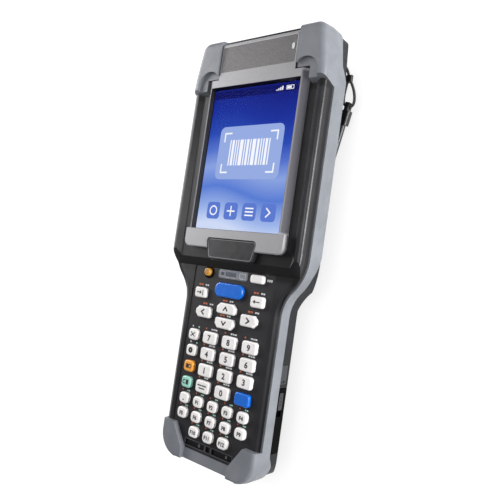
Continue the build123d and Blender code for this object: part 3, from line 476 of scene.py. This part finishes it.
def make_bezel_silver():
    """Silver paint with a textured plate at the top, and painted light and shade: a darker outer strip on
    each side of the screen, a slightly lighter bar below it, and near black beside the caps and inside the
    screen's hole."""
    material = new_material("bezel_silver", srgb(150, 149, 150), 0.45, Metallic=0.3)
    tree = material.node_tree
    flake = map_range(tree, add_noise(tree, 0.14, detail=1.0), 0.35, 0.65)
    paint = mix_colors(tree, flake, srgb(136, 135, 138), srgb(156, 155, 158))
    plate = inside_box(tree, TOP_PLATE_X, TOP_PLATE_Y)
    dimple = map_range(tree, add_noise(tree, 0.3, detail=3.0), 0.4, 0.62)
    plate_color = mix_colors(tree, dimple, srgb(82, 80, 81), srgb(108, 106, 107))
    along, from_middle = axis_value(tree, Y), add_math(tree, "ABSOLUTE", axis_value(tree, X))
    # Painted shade: the bezel's outer part beside the screen, darker where it slopes away.
    strip_shade = add_math(tree, "MULTIPLY", inside_range(tree, Y, *STRIP_Y, soft=0.6),
                      map_range(tree, from_middle, *STRIP_X))
    paint = mix_colors(tree, strip_shade, paint, srgb(78, 77, 84))
    # Painted light: the bar below the screen, in an even and slightly lighter tone.
    paint = mix_colors(tree, map_range(tree, along, *BAR_Y, 1.0, 0.0), paint, srgb(150, 149, 152))
    # Painted shadow: a near black line in the gap beside each cap.
    cap_gap_shadow = add_math(tree, "MULTIPLY", map_range(tree, along, *CAP_GAP_SHADOW_Y),
                          map_range(tree, from_middle, *CAP_GAP_SHADOW_X))
    dressed = mix_colors(tree, plate, paint, plate_color)
    dressed = mix_colors(tree, cap_gap_shadow, dressed, srgb(8, 8, 9))
    # Painted shade: near black on the bezel's inner wall, inside the screen's hole.
    hole_wall_shade = inside_box(tree, SCREEN_HOLE_X, SCREEN_HOLE_Y, soft=0.04)
    link_color(material, mix_colors(tree, hole_wall_shade, dressed, srgb(16, 16, 18)))
    uneven = add_noise(tree, 1.5, detail=5.0)
    link_roughness(material, map_range(tree, uneven, 0.3, 0.7, 0.36, 0.48))
    add_bump(material, add_math(tree, "MULTIPLY", dimple, plate), 0.05)
    return material


def make_key_plastic(name, color):
    dark = tuple(level * KEY_SHADE for level in color)
    return moulded(name, dark, color, 0.27, 0.8, 0.0004, Coat_Weight=0.25, Coat_Roughness=0.16)


def make_weave(name, dark, light, pitch):
    """Woven webbing: crossing ribs with a thread's pitch in millimetres."""
    material = new_material(name, light, 0.8, Sheen_Weight=0.3)
    tree = material.node_tree
    ribs = []
    for direction in ("X", "Y"):
        wave = tree.nodes.new("ShaderNodeTexWave")
        wave.bands_direction = direction
        wave.inputs["Scale"].default_value = math.pi / 10 / pitch
        tree.links.new(object_point(tree), wave.inputs["Vector"])
        ribs.append(wave.outputs["Fac"])
    height = add_math(tree, "MULTIPLY", ribs[0], ribs[1])
    link_color(material, mix_colors(tree, height, dark, light))
    fuzz = add_noise(tree, 0.3, detail=5.0)
    link_roughness(material, map_range(tree, fuzz, 0.3, 0.7, 0.7, 0.95))
    add_bump(material, height, 0.12)
    add_bump(material, fuzz, 0.03)
    return material


def make_brushed(name, color, roughness):
    material = new_material(name, color, roughness, Metallic=1.0)
    tree = material.node_tree
    lines = add_noise(tree, 0.25, detail=4.0, scale=(0.05, 1, 1))
    link_roughness(material, map_range(tree, lines, 0.3, 0.7, roughness * 0.7, roughness * 1.3))
    add_bump(material, lines, 0.004)
    return material


def make_clear(name, color, roughness, transmission, index=1.46):
    material = new_material(name, color, roughness, Transmission_Weight=transmission, IOR=index)
    tree = material.node_tree
    smear = add_noise(tree, 6.0, detail=5.0)
    link_roughness(material, map_range(tree, smear, 0.35, 0.7, roughness, roughness + 0.03))
    return material


def make_glow(name, color):
    """A lit part of the display: its colour shines, and its face barely reflects."""
    material = new_material(name, (0, 0, 0), 0.5, Emission_Strength=1.0, Specular_IOR_Level=0.0)
    get_shader(material).inputs["Emission Color"].default_value = (*color, 1)
    return material


def make_picture():
    """The lit background: deep blue above, pale below, with a paler band, all bent by a soft wave."""
    material = make_glow("picture", srgb(60, 90, 190))
    tree = material.node_tree
    half = PICTURE[1] / 2
    height = map_range(tree, axis_value(tree, Y), SCREEN_Y - half, SCREEN_Y + half)
    sweep = add_math(tree, "SINE", add_math(tree, "MULTIPLY", axis_value(tree, X), SWEEP_RATE))
    lifted = add_math(tree, "ADD", height, add_math(tree, "MULTIPLY", sweep, SWEEP_RISE))
    ramp = tree.nodes.new("ShaderNodeValToRGB")
    tree.links.new(lifted, ramp.inputs[0])
    while len(ramp.color_ramp.elements) < len(PICTURE_STOPS):
        ramp.color_ramp.elements.new(0.5)
    for element, (position, color) in zip(ramp.color_ramp.elements, PICTURE_STOPS):
        element.position = position
        element.color = (*srgb(*color), 1)
    tree.links.new(ramp.outputs[0], get_shader(material).inputs["Emission Color"])
    return material


# ---------------------------------------------------------------- mesh helpers


def add_piece(name, mesh, material, body):
    piece = bpy.data.objects.new(name, mesh)
    bpy.context.collection.objects.link(piece)
    mesh.materials.append(material)
    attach(piece, body)
    return piece


def add_flat(name, shapes, base, material, body, thickness=INK_THICKNESS):
    """Flat shapes, given as outlines in millimetres, as one thin raised piece."""
    work = bmesh.new()
    for outline in shapes:
        low = [work.verts.new(place((x, y, base))) for x, y in outline]
        high = [work.verts.new(place((x, y, base + thickness))) for x, y in outline]
        work.faces.new(high)
        work.faces.new(low[::-1])
        for index in range(len(outline)):
            after = (index + 1) % len(outline)
            work.faces.new((low[index], low[after], high[after], high[index]))
    bmesh.ops.recalc_face_normals(work, faces=work.faces)
    mesh = bpy.data.meshes.new(name)
    work.to_mesh(mesh)
    work.free()
    return add_piece(name, mesh, material, body)


def add_text(name, text, size, boldness, middle, material, body):
    """A printed mark, centred on a point of the surface it lies on."""
    data = bpy.data.curves.new(name, "FONT")
    data.body = text
    data.size = size * MM
    data.align_x, data.align_y = "CENTER", "CENTER"
    data.extrude = INK_THICKNESS / 2 * MM
    data.offset = boldness * MM
    data.resolution_u = 3
    shape = bpy.data.objects.new(name, data)
    bpy.context.collection.objects.link(shape)
    bpy.context.view_layer.update()
    mesh = bpy.data.meshes.new_from_object(shape.evaluated_get(bpy.context.evaluated_depsgraph_get()))
    bpy.data.objects.remove(shape)
    mesh.transform(Matrix.Translation(place(middle)))
    mesh.materials.clear()
    return add_piece(name, mesh, material, body)


def rounded(x, y, width, height, radius, steps=5):
    """A rounded rectangle's outline about its middle."""
    outline = []
    for corner, (side_x, side_y) in enumerate(((1, 1), (-1, 1), (-1, -1), (1, -1))):
        for step in range(steps + 1):
            angle = math.pi / 2 * (corner + step / steps)
            outline.append((x + side_x * (width / 2 - radius) + radius * math.cos(angle),
                            y + side_y * (height / 2 - radius) + radius * math.sin(angle)))
    return outline


def border(outer, inner):
    """The band between two outlines with as many points, as four-sided shapes."""
    count = len(outer)
    return [(outer[i], outer[(i + 1) % count], inner[(i + 1) % count], inner[i]) for i in range(count)]


def upright(left, low, right, high):
    """A plain rectangle's outline."""
    return [(left, low), (right, low), (right, high), (left, high)]


def stroke(points, width):
    """A line of a given width through some points, as one rectangle for each run."""
    shapes = []
    for (x0, y0), (x1, y1) in zip(points, points[1:]):
        length = math.hypot(x1 - x0, y1 - y0)
        ahead = ((x1 - x0) / length * width / 2, (y1 - y0) / length * width / 2)
        aside = (-ahead[1], ahead[0])
        ends = ((x0 - ahead[0], y0 - ahead[1]), (x1 + ahead[0], y1 + ahead[1]))
        shapes.append([(ends[0][0] - aside[0], ends[0][1] - aside[1]),
                       (ends[1][0] - aside[0], ends[1][1] - aside[1]),
                       (ends[1][0] + aside[0], ends[1][1] + aside[1]),
                       (ends[0][0] + aside[0], ends[0][1] + aside[1])])
    return shapes


def arc_band(x, y, radius, width, start, end, steps=16):
    """Part of a ring between two angles in degrees."""
    shapes = []
    for step in range(steps):
        turns = [math.radians(start + (end - start) * (step + k) / steps) for k in (0, 1)]
        shapes.append([(x + r * math.cos(t), y + r * math.sin(t)) for r, t in (
            (radius - width / 2, turns[0]), (radius + width / 2, turns[0]),
            (radius + width / 2, turns[1]), (radius - width / 2, turns[1]))])
    return shapes


def shifted(shapes, x, y):
    return [[(px + x, py + y) for px, py in shape] for shape in shapes]


def key_middle(node):
    low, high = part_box(node)
    middle = (low + high) / 2 / MM
    return middle.x, middle.y


# ---------------------------------------------------------------- stylus tether


def make_tether():
    """A limp elastic cord from its lug through the crimp, round the stylus's eye and back."""
    curve = bpy.data.curves.new("tether", "CURVE")
    curve.dimensions = "3D"
    spline = curve.splines.new("NURBS")
    spline.points.add(len(TETHER_ROUTE) - 1)
    for point, position in zip(spline.points, TETHER_ROUTE):
        point.co = (*place(position), 1)
    spline.order_u = 3
    spline.use_endpoint_u = True
    spline.resolution_u = 8
    shape = bpy.data.objects.new("tether_line", curve)
    bpy.context.collection.objects.link(shape)

    def read_mesh():
        bpy.context.view_layer.update()
        return bpy.data.meshes.new_from_object(
            shape.evaluated_get(bpy.context.evaluated_depsgraph_get()))

    line = read_mesh()
    curve.bevel_depth = TETHER_RADIUS * MM
    curve.bevel_resolution = 4
    curve.use_fill_caps = True
    mesh = read_mesh()
    bpy.data.objects.remove(shape)
    mesh.materials.clear()
    mesh.materials.append(make_weave("braid", srgb(10, 10, 11), srgb(26, 26, 28), 0.35))
    mesh.polygons.foreach_set("use_smooth", [True] * len(mesh.polygons))
    tether = bpy.data.objects.new("tether", mesh)
    bpy.context.collection.objects.link(tether)
    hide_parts("stylus_tether")
    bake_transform(tether)


# ---------------------------------------------------------------- display picture

MODULE_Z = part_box("display_module")[1].z / MM
TILE_Z = MODULE_Z + 0.02
MARK_Z = TILE_Z + 0.015


def add_lit(name, shapes, level, material, thickness=FILM_THICKNESS):
    """One lit layer on the display module."""
    add_flat(name, shapes, level, material, "terminal", thickness)


def make_display():
    """A generic scanning screen in thin lit layers."""
    picture = rounded(0, SCREEN_Y, *PICTURE, 0.6)
    add_lit("picture", [picture], MODULE_Z, make_picture(), PICTURE_THICKNESS)
    bar = rounded(0, STATUS_Y, PICTURE[0] - 0.6, 4.0, 0.4)
    add_lit("status_bar", [bar], TILE_Z, make_glow("bar_blue", srgb(18, 24, 98)))
    tiles = [rounded(x, TILE_Y, TILE_SIDE, TILE_SIDE, 1.8) for x in TILE_X]
    add_lit("tiles", tiles, TILE_Z, make_glow("tile_blue", srgb(92, 122, 208)))
    panel = rounded(0, CODE_Y, 40.0, 27.0, 3.0)
    add_lit("scan_panel", [panel], TILE_Z, make_glow("panel_blue", srgb(150, 172, 226)))
    marks = code_marks() + status_marks() + tile_marks()
    add_lit("display_marks", marks, MARK_Z, make_glow("mark_white", srgb(246, 248, 255)))


def code_marks():
    """Corner brackets round a row of bars."""
    marks = []
    for side_x in (-1, 1):
        for side_y in (-1, 1):
            x, y = side_x * BRACKET[0], CODE_Y + side_y * BRACKET[1]
            marks += stroke([(x - side_x * 4.0, y), (x, y), (x, y - side_y * 4.0)], 0.8)
    left = -CODE_HALF[0]
    for width in CODE_BARS:
        marks.append(upright(left, CODE_Y - CODE_HALF[1], left + width, CODE_Y + CODE_HALF[1]))
        left += width + BAR_GAP
    return marks


def status_marks():
    """A battery and a signal sign."""
    y = STATUS_Y
    marks = border(rounded(BATTERY_X, y, 4.4, 2.0, 0.3), rounded(BATTERY_X, y, 3.8, 1.4, 0.15))
    marks.append(upright(BATTERY_X - 1.7, y - 0.5, BATTERY_X + 0.8, y + 0.5))
    for step in range(4):
        x = SIGNAL_X + step * 1.1
        marks.append(upright(x, y - 1.0, x + 0.7, y - 1.0 + 0.5 * (step + 1)))
    return marks


def tile_marks():
    """A sign on each tile: a ring, a cross, three lines and a chevron."""
    ring, cross, lines, arrow = TILE_X
    y, reach, width = TILE_Y, 2.2, 0.7
    marks = arc_band(ring, y, reach, width, 0, 360, 24)
    marks += stroke([(cross - reach, y), (cross + reach, y)], width)
    marks += stroke([(cross, y - reach), (cross, y + reach)], width)
    for offset in (-1.7, 0, 1.7):
        marks += stroke([(lines - reach, y + offset), (lines + reach, y + offset)], width)
    return marks + stroke([(arrow - 1.2, y - 2.0), (arrow + 1.0, y), (arrow - 1.2, y + 2.0)], width)


# ---------------------------------------------------------------- legends


def add_key_text(name, text, node, ink, size, boldness, drop):
    """Text on a key's top, its middle a little below the key's."""
    x, y = key_middle(node)
    add_text(name, text, size, boldness, (x, y - drop, KEY_Z), ink, node)


def make_legends(inks):
    """Printed marks on the keys, which move with them, and small ones on the keypad's face."""
    for digit in "0123456789":
        add_key_text(f"digit_{digit}", digit, f"key_{digit}", inks["grey"], *DIGIT_PRINT)
    for number in range(1, 13):
        add_key_text(f"function_{number}", f"F{number}", f"key_f{number}", inks["grey"], *FUNCTION_PRINT)
    chevron = [(-1.15, -0.8), (0.0, 0.65), (1.15, -0.8)]
    signs = {
        "key_up": stroke(chevron, CHEVRON_WIDTH),
        "key_down": stroke([(x, -y) for x, y in chevron], CHEVRON_WIDTH),
        "key_left": stroke([(-y, x) for x, y in chevron], CHEVRON_WIDTH),
        "key_right": stroke([(y, x) for x, y in chevron], CHEVRON_WIDTH),
        "key_back": stroke([(1.6, 0), (-1.4, 0)], SIGN_WIDTH) + [[(-2.2, 0), (-0.9, -1.0), (-0.9, 1.0)]],
        "key_tab": stroke([(-1.9, 0), (0.2, 0)], SIGN_WIDTH) + [[(1.2, 0), (-0.2, 1.0), (-0.2, -1.0)]]
        + stroke([(1.8, -1.2), (1.8, 1.2)], 0.45),
        "key_escape": stroke([(-1.2, -0.9), (1.2, 0.9)], SIGN_WIDTH)
        + stroke([(-1.2, 0.9), (1.2, -0.9)], SIGN_WIDTH),
        "key_help": arc_band(0, 0, 0.85, 1.2, 0, 360, 20),
        "key_orange": [rounded(-0.7, 0, 1.7, 2.2, 0.3)] + arc_band(1.1, 0, 0.9, SIGN_WIDTH, 0, 360),
        "key_green": arc_band(-1.1, 0, 0.9, SIGN_WIDTH, 50, 310) + [rounded(0.9, 0, 1.7, 2.4, 0.3)],
        "key_field": stroke([(-2.6, 0.6), (-0.6, 0.6)], 0.6) + stroke([(0.2, 0.6), (2.6, 0.6)], 0.6)
        + stroke([(-1.6, -0.8), (1.6, -0.8)], 0.6),
        "key_point": [rounded(0, -0.9, 0.8, 0.8, 0.39)],
        "key_power": arc_band(0, 0, 1.0, 0.35, 120, 420) + stroke([(0, 0.2), (0, 1.3)], 0.35),
    }
    for node, shapes in signs.items():
        ink = inks["brown"] if node == "key_power" else inks["grey"]
        add_flat(f"sign_{node}", shifted(shapes, *key_middle(node)), KEY_Z, ink, node)
    make_panel_marks(inks)


def small_words(x, y, runs, height=0.75):
    """A row of short bars, where a small printed word would stand."""
    shapes = []
    for run in runs:
        shapes.append(upright(x, y, x + run, y + height))
        x += run + WORD_GAP
    return shapes


def make_panel_marks(inks):
    """Small coloured bars over the keys, in place of the words printed on the keypad's face."""
    orange, green, white = [], [], []
    for node, runs in (*((f"key_{digit}", (1.1, 0.8, 1.3)) for digit in "7894561230"),
                       ("key_field", (0.9, 1.3))):
        x, y = key_middle(node)
        orange += small_words(x - 4.4, y + 3.75, (0.8,))
        white += small_words(x - 0.6, y + 3.75, runs)
    for node in ("key_escape", "key_help"):
        x, y = key_middle(node)
        white += small_words(x - 2.6, y + 3.5, (0.8,))
        green += small_words(x + 1.6, y + 3.5, (0.8,))
    for node in ("key_point", *(f"key_f{number}" for number in range(1, 13))):
        x, y = key_middle(node)
        orange += small_words(x - 3.0, y + 3.25, (0.6,), 0.65)
        green += small_words(x + 0.4, y + 3.25, (0.6, 0.9), 0.65)
    for node, left, rise in ARROW_MARKS:
        x, y = key_middle(node)
        orange += small_words(x + left, y + rise, (1.4, 1.2), 0.8)
        white += small_words(x + left + 4.4, y + rise, (0.9, 1.1), 0.8)
    x, y = key_middle("key_talk")
    white += small_words(x + 5.1, y - 0.5, (0.8, 0.8, 0.8), 1.1)
    for name, shapes, slot in (("orange", orange, "key_orange"), ("green", green, "key_green"),
                               ("white", white, "key_white")):
        add_flat(f"panel_marks_{name}", shapes, PANEL_Z, inks[name], "terminal")


def make_inks():
    """Printing inks, slightly patchy."""
    inks = {}
    for name, color in INK_COLORS.items():
        ink = new_material(f"ink_{name}", srgb(*color), 0.5)
        tree = ink.node_tree
        patchy = map_range(tree, add_noise(tree, 0.35), 0.35, 0.65)
        dark = srgb(*(INK_SHADE * level for level in color))
        link_color(ink, mix_colors(tree, patchy, dark, srgb(*color)))
        inks[name] = ink
    return inks


# ---------------------------------------------------------------- hand strap


def sweep_ribbon(name, line, width, thickness, material, body):
    """A flat ribbon with rounded edges along a line of (length, height) points."""
    work = bmesh.new()
    section = []
    half, rim = width / 2, thickness / 2
    for step in range(9):
        angle = math.pi / 2 - math.pi * step / 8
        section.append((half - rim + rim * math.cos(angle), rim * math.sin(angle)))
    section += [(-x, z) for x, z in reversed(section)]
    rings = []
    for index, (y, z) in enumerate(line):
        before, after = line[max(index - 1, 0)], line[min(index + 1, len(line) - 1)]
        along = Vector((after[0] - before[0], after[1] - before[1])).normalized()
        rings.append([work.verts.new(place((x, y - along.y * d, z + along.x * d))) for x, d in section])
    for first, second in zip(rings, rings[1:]):
        for index in range(len(section)):
            after = (index + 1) % len(section)
            work.faces.new((first[index], first[after], second[after], second[index]))
    work.faces.new(rings[0][::-1])
    work.faces.new(rings[-1])
    bmesh.ops.recalc_face_normals(work, faces=work.faces)
    for face in work.faces:
        face.smooth = len(face.verts) == 4
    mesh = bpy.data.meshes.new(name)
    work.to_mesh(mesh)
    work.free()
    return add_piece(name, mesh, material, body)


def make_strap():
    """Webbing doubled round the pin and stitched, with a padded sleeve over the battery."""
    weave = make_weave("webbing", srgb(14, 14, 15), srgb(34, 34, 37), 0.55)
    offset = LAYER / 2 + LAYER_GAP
    upper, lower = PIN_Z + offset, PIN_Z - offset
    flat_end = PIN_Y - LOOP_START
    long_steps, loop_steps, short_steps = 30, 16, 6
    line = [(STRAP_LOW_Y + (flat_end - STRAP_LOW_Y) * step / long_steps, upper)
            for step in range(long_steps + 1)]
    line.append((PIN_Y - NECK[0], PIN_Z + NECK[1]))
    for step in range(loop_steps + 1):
        angle = math.radians(LOOP_HALF_TURN * (1 - 2 * step / loop_steps))
        line.append((PIN_Y + LOOP_RADIUS * math.cos(angle), PIN_Z + LOOP_RADIUS * math.sin(angle)))
    line.append((PIN_Y - NECK[0], PIN_Z - NECK[1]))
    line += [(flat_end + (STITCHED_Y - flat_end) * step / short_steps, lower)
             for step in range(short_steps + 1)]
    webbing = sweep_ribbon("strap_webbing", line, STRAP_WIDTH, LAYER * WEBBING_SHARE, weave,
                           "hand_strap")
    thread = moulded("thread", srgb(46, 46, 50), srgb(62, 62, 66), 0.7, 0.1, 0.01)
    stitches = []
    for row in STITCH_ROWS:
        for column in range(STITCH_COLUMNS):
            x = (column - (STITCH_COLUMNS - 1) / 2) * STITCH_PITCH
            stitches.append(rounded(x, row, *STITCH, 3))
    stitch_base = lower - LAYER / 2 - STITCH_THICKNESS / 2
    add_flat("strap_stitches", stitches, stitch_base, thread, "hand_strap", STITCH_THICKNESS)
    pad = make_pad()
    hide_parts("hand_strap")
    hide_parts("hand_strap")


def make_pad():
    """A crowned foam pad with a flatter border round it."""
    columns, rows = PAD_MESH
    half_x, half_y, half_z = (side / 2 for side in PAD)
    work = bmesh.new()

    def inside_corner(x, y):
        return half_x - PAD_CORNER - abs(x), half_y - PAD_CORNER - abs(y)

    def rim_distance(x, y):
        inside_x, inside_y = inside_corner(x, y)
        if inside_x < 0 and inside_y < 0:
            return PAD_CORNER - math.hypot(inside_x, inside_y)
        return PAD_CORNER + min(inside_x, inside_y)

    def thickness(x, y):
        distance = max(rim_distance(x, y), 0)
        edge = 1 - (1 - min(distance / PAD_EDGE, 1)) ** 2
        crown = 1 - (1 - min(max(distance - PAD_BORDER, 0) / PAD_RISE, 1)) ** 2
        return half_z * (PAD_RIM_SHARE * math.sqrt(edge) + (1 - PAD_RIM_SHARE) * crown)

    sides = {}
    for sign in (-1, 1):
        for i in range(columns + 1):
            for j in range(rows + 1):
                x, y = -half_x + PAD[0] * i / columns, -half_y + PAD[1] * j / rows
                inside_x, inside_y = inside_corner(x, y)
                reach = math.hypot(inside_x, inside_y)
                if inside_x < 0 and inside_y < 0 and reach > PAD_CORNER:
                    x = math.copysign(half_x - PAD_CORNER - inside_x * PAD_CORNER / reach, x)
                    y = math.copysign(half_y - PAD_CORNER - inside_y * PAD_CORNER / reach, y)
                z = PIN_Z + sign * thickness(x, y)
                sides[sign, i, j] = work.verts.new(place((x, PAD_Y + y, z)))
    for sign in (-1, 1):
        for i in range(columns):
            for j in range(rows):
                work.faces.new([sides[sign, i, j], sides[sign, i + 1, j], sides[sign, i + 1, j + 1],
                                sides[sign, i, j + 1]])
    bmesh.ops.remove_doubles(work, verts=work.verts, dist=0.01 * MM)
    bmesh.ops.recalc_face_normals(work, faces=work.faces)
    for face in work.faces:
        face.smooth = True
    mesh = bpy.data.meshes.new("strap_pad")
    work.to_mesh(mesh)
    work.free()
    fabric = make_weave("pad_fabric", srgb(16, 16, 17), srgb(30, 30, 33), 0.9)
    pad = add_piece("strap_pad", mesh, fabric, "hand_strap")
    return pad


# ---------------------------------------------------------------- small trim


def cut_corners(points, radius, steps=6):
    """A polygon, given anticlockwise, with each corner rounded."""
    outline = []
    for before, corner, after in zip(points[-1:] + points[:-1], points, points[1:] + points[:1]):
        arriving = (Vector(corner) - Vector(before)).normalized()
        leaving = (Vector(after) - Vector(corner)).normalized()
        turn = arriving.angle(leaving)
        reach = radius * math.tan(turn / 2)
        start = Vector(corner) - arriving * reach
        centre = start + Vector((-arriving.y, arriving.x)) * radius
        for step in range(steps + 1):
            angle = turn * step / steps
            arm = start - centre
            outline.append((centre.x + arm.x * math.cos(angle) - arm.y * math.sin(angle),
                            centre.y + arm.x * math.sin(angle) + arm.y * math.cos(angle)))
    return outline


def trim_plastic(name, dark, light, roughness=0.3, **constants):
    """The fine plastic or print of the small trim, from its darker and lighter colour."""
    return moulded(name, srgb(*dark), srgb(*light), roughness, 0.3, 0.004, **constants)


def make_trim(inks):
    """Raised and printed trim of the plates, the window, the power key's well and the dock slots, with
    painted highlights on the plates' edges and painted shade in the well.
    """
    outer = cut_corners([(13.3, -5.9), (15.5, 3.4), (-15.5, 3.4), (-13.3, -5.9)], 1.5)
    inner = cut_corners([(12.95, -5.5), (15.05, 3.0), (-15.05, 3.0), (-12.95, -5.5)], 1.2)
    # Painted highlight: a light grey rim round the name plate, where its edge catches the light.
    rim_highlight_grey = trim_plastic("plate_edge_highlight", (104, 103, 106), (120, 119, 122))
    add_flat("plate_rim_highlight", border(outer, inner), PLATE_RIM_Z, rim_highlight_grey, "terminal", 0.06)
    # Painted highlight: a thin raised line, lighter than the bezel, along the top plate's upper and right
    # edges.
    silver = trim_plastic("ridge_highlight_silver", (168, 166, 166), (184, 182, 182), 0.35)
    ridge = stroke([(-23.0, 102.0), (23.1, 102.0), (23.1, 88.6)], 0.4)
    add_flat("top_ridge_highlight", ridge, RIDGE_Z, silver, "terminal", 0.14)
    make_window_trim(inks)
    x, y = key_middle("key_power")
    # Painted shade: a black ring round the power key, wider on its right, for the shade in its well.
    shade = border(rounded(x + 0.3, y, 7.0, 6.4, 3.19), rounded(x, y, 5.0, 5.0, 2.49))
    well = trim_plastic("well_shade_black", (3, 3, 4), (6, 6, 7), 0.5, Specular_IOR_Level=0.04)
    add_flat("power_well_shade", shade, PANEL_Z, well, "terminal")
    dock = []
    for middle, width in ((-DOCK_SLOT_X, 13.4), (DOCK_SLOT_X, 13.4), (0, 3.4)):
        dock += border(rounded(middle, DOCK_Y, width, 3.4, 0.4),
                       rounded(middle, DOCK_Y, width - 0.5, 2.9, 0.3))
    edge_grey = trim_plastic("dock_edge", (70, 70, 76), (84, 84, 90), 0.4)
    add_flat("dock_edges", dock, DOCK_RIM_Z, edge_grey, "terminal", 0.1)
    stops = [rounded(side * DOCK_SLOT_X + 2.6, DOCK_Y, 1.1, 1.5, 0.2) for side in (-1, 1)]
    add_flat("dock_contacts", stops, DOCK_CONTACT_Z, edge_grey, "terminal", 0.25)


def make_window_trim(inks):
    """What shows in the status window: small bars, a rim, darker patches and a light frame."""
    marks = small_words(-4.6, -14.9, (1.0, 1.0), 0.4) + small_words(-0.8, -14.9, (2.4,), 0.4)
    marks += small_words(5.0, -14.9, (1.6,), 0.4)
    add_flat("window_marks", marks, WINDOW_Z, inks["white"], "terminal")
    rim = border(rounded(0, WINDOW_Y, 17.6, 3.6, 0.5), rounded(0, WINDOW_Y, 17.2, 3.2, 0.3))
    rim += stroke([(3.6, WINDOW_Y - 1.5), (3.6, WINDOW_Y + 1.5)], 0.25)
    patches = [rounded(-1.2, -13.0, 6.8, 2.2, 0.4), rounded(-6.6, -13.0, 2.2, 1.6, 0.4)]
    frame_lines = border(rounded(6.2, WINDOW_Y, 4.0, 2.6, 0.4),
                         rounded(6.2, WINDOW_Y, 3.5, 2.1, 0.3))
    edge = trim_plastic("window_edge", (96, 98, 104), (112, 114, 120))
    dark = moulded("window_dark", srgb(52, 57, 66), srgb(92, 98, 108), 0.3, 0.6, 0.004)
    light = trim_plastic("window_light", (168, 172, 180), (184, 188, 196))
    for name, shapes, material in (("window_lines", rim, edge), ("window_patches", patches, dark),
                                   ("window_frame", frame_lines, light)):
        add_flat(name, shapes, WINDOW_Z, material, "terminal")


# ---------------------------------------------------------------- dressing the carried nodes


def dress(material, *names):
    for name in names:
        mesh = nodes[name].data
        mesh.materials.clear()
        mesh.materials.append(material)


def dress_nodes():
    dress(make_elastomer(), "bumper_ring")
    dress(make_cover_black(), "front_cover")
    dress(make_bezel_silver(), "display_bezel")
    dress(make_rear_grey(), "rear_housing")
    for node, name, dark, light, roughness, grain_size, grain_depth in PLASTICS:
        dress(moulded(name, srgb(*dark), srgb(*light), roughness, grain_size, grain_depth), node)
    battery = moulded("battery_black", srgb(5, 5, 6), srgb(8, 8, 9), 0.16, 0.6, 0.002,
                      Specular_IOR_Level=0.02)
    dress(battery, "battery_pack")
    dress(make_clear("touch_glass", (1, 1, 1), 0.0, 1.0, 1.08), "touch_panel")
    dress(make_clear("smoked", srgb(150, 153, 160), 0.2, 0.25), "status_window")
    dress(make_clear("lens_white", srgb(240, 240, 242), 0.1, 0.2), "light_sensor_lens")
    dress(make_clear("scan_red", srgb(120, 12, 16), 0.04, 0.6), "scan_window")
    dress(make_brushed("screw_steel", srgb(70, 70, 74), 0.35), "housing_screws")
    dress(make_brushed("pin_steel", srgb(176, 178, 182), 0.28), "strap_pin")
    white = make_key_plastic("key_white", srgb(232, 229, 228))
    dress(white, *(name for name in nodes if name.startswith("key_")))
    for name, color, keys in COLORED_KEYS:
        dress(make_key_plastic(name, srgb(*color)), *keys)


add_camera()
make_tether()
add_floor()
light_world(WORLD_LEVEL)
for lamp in LAMPS:
    add_lamp(*lamp)
dress_nodes()
inks = make_inks()
make_display()
make_legends(inks)
make_strap()
make_trim(inks)
bpy.context.scene.view_settings.view_transform = "Standard"
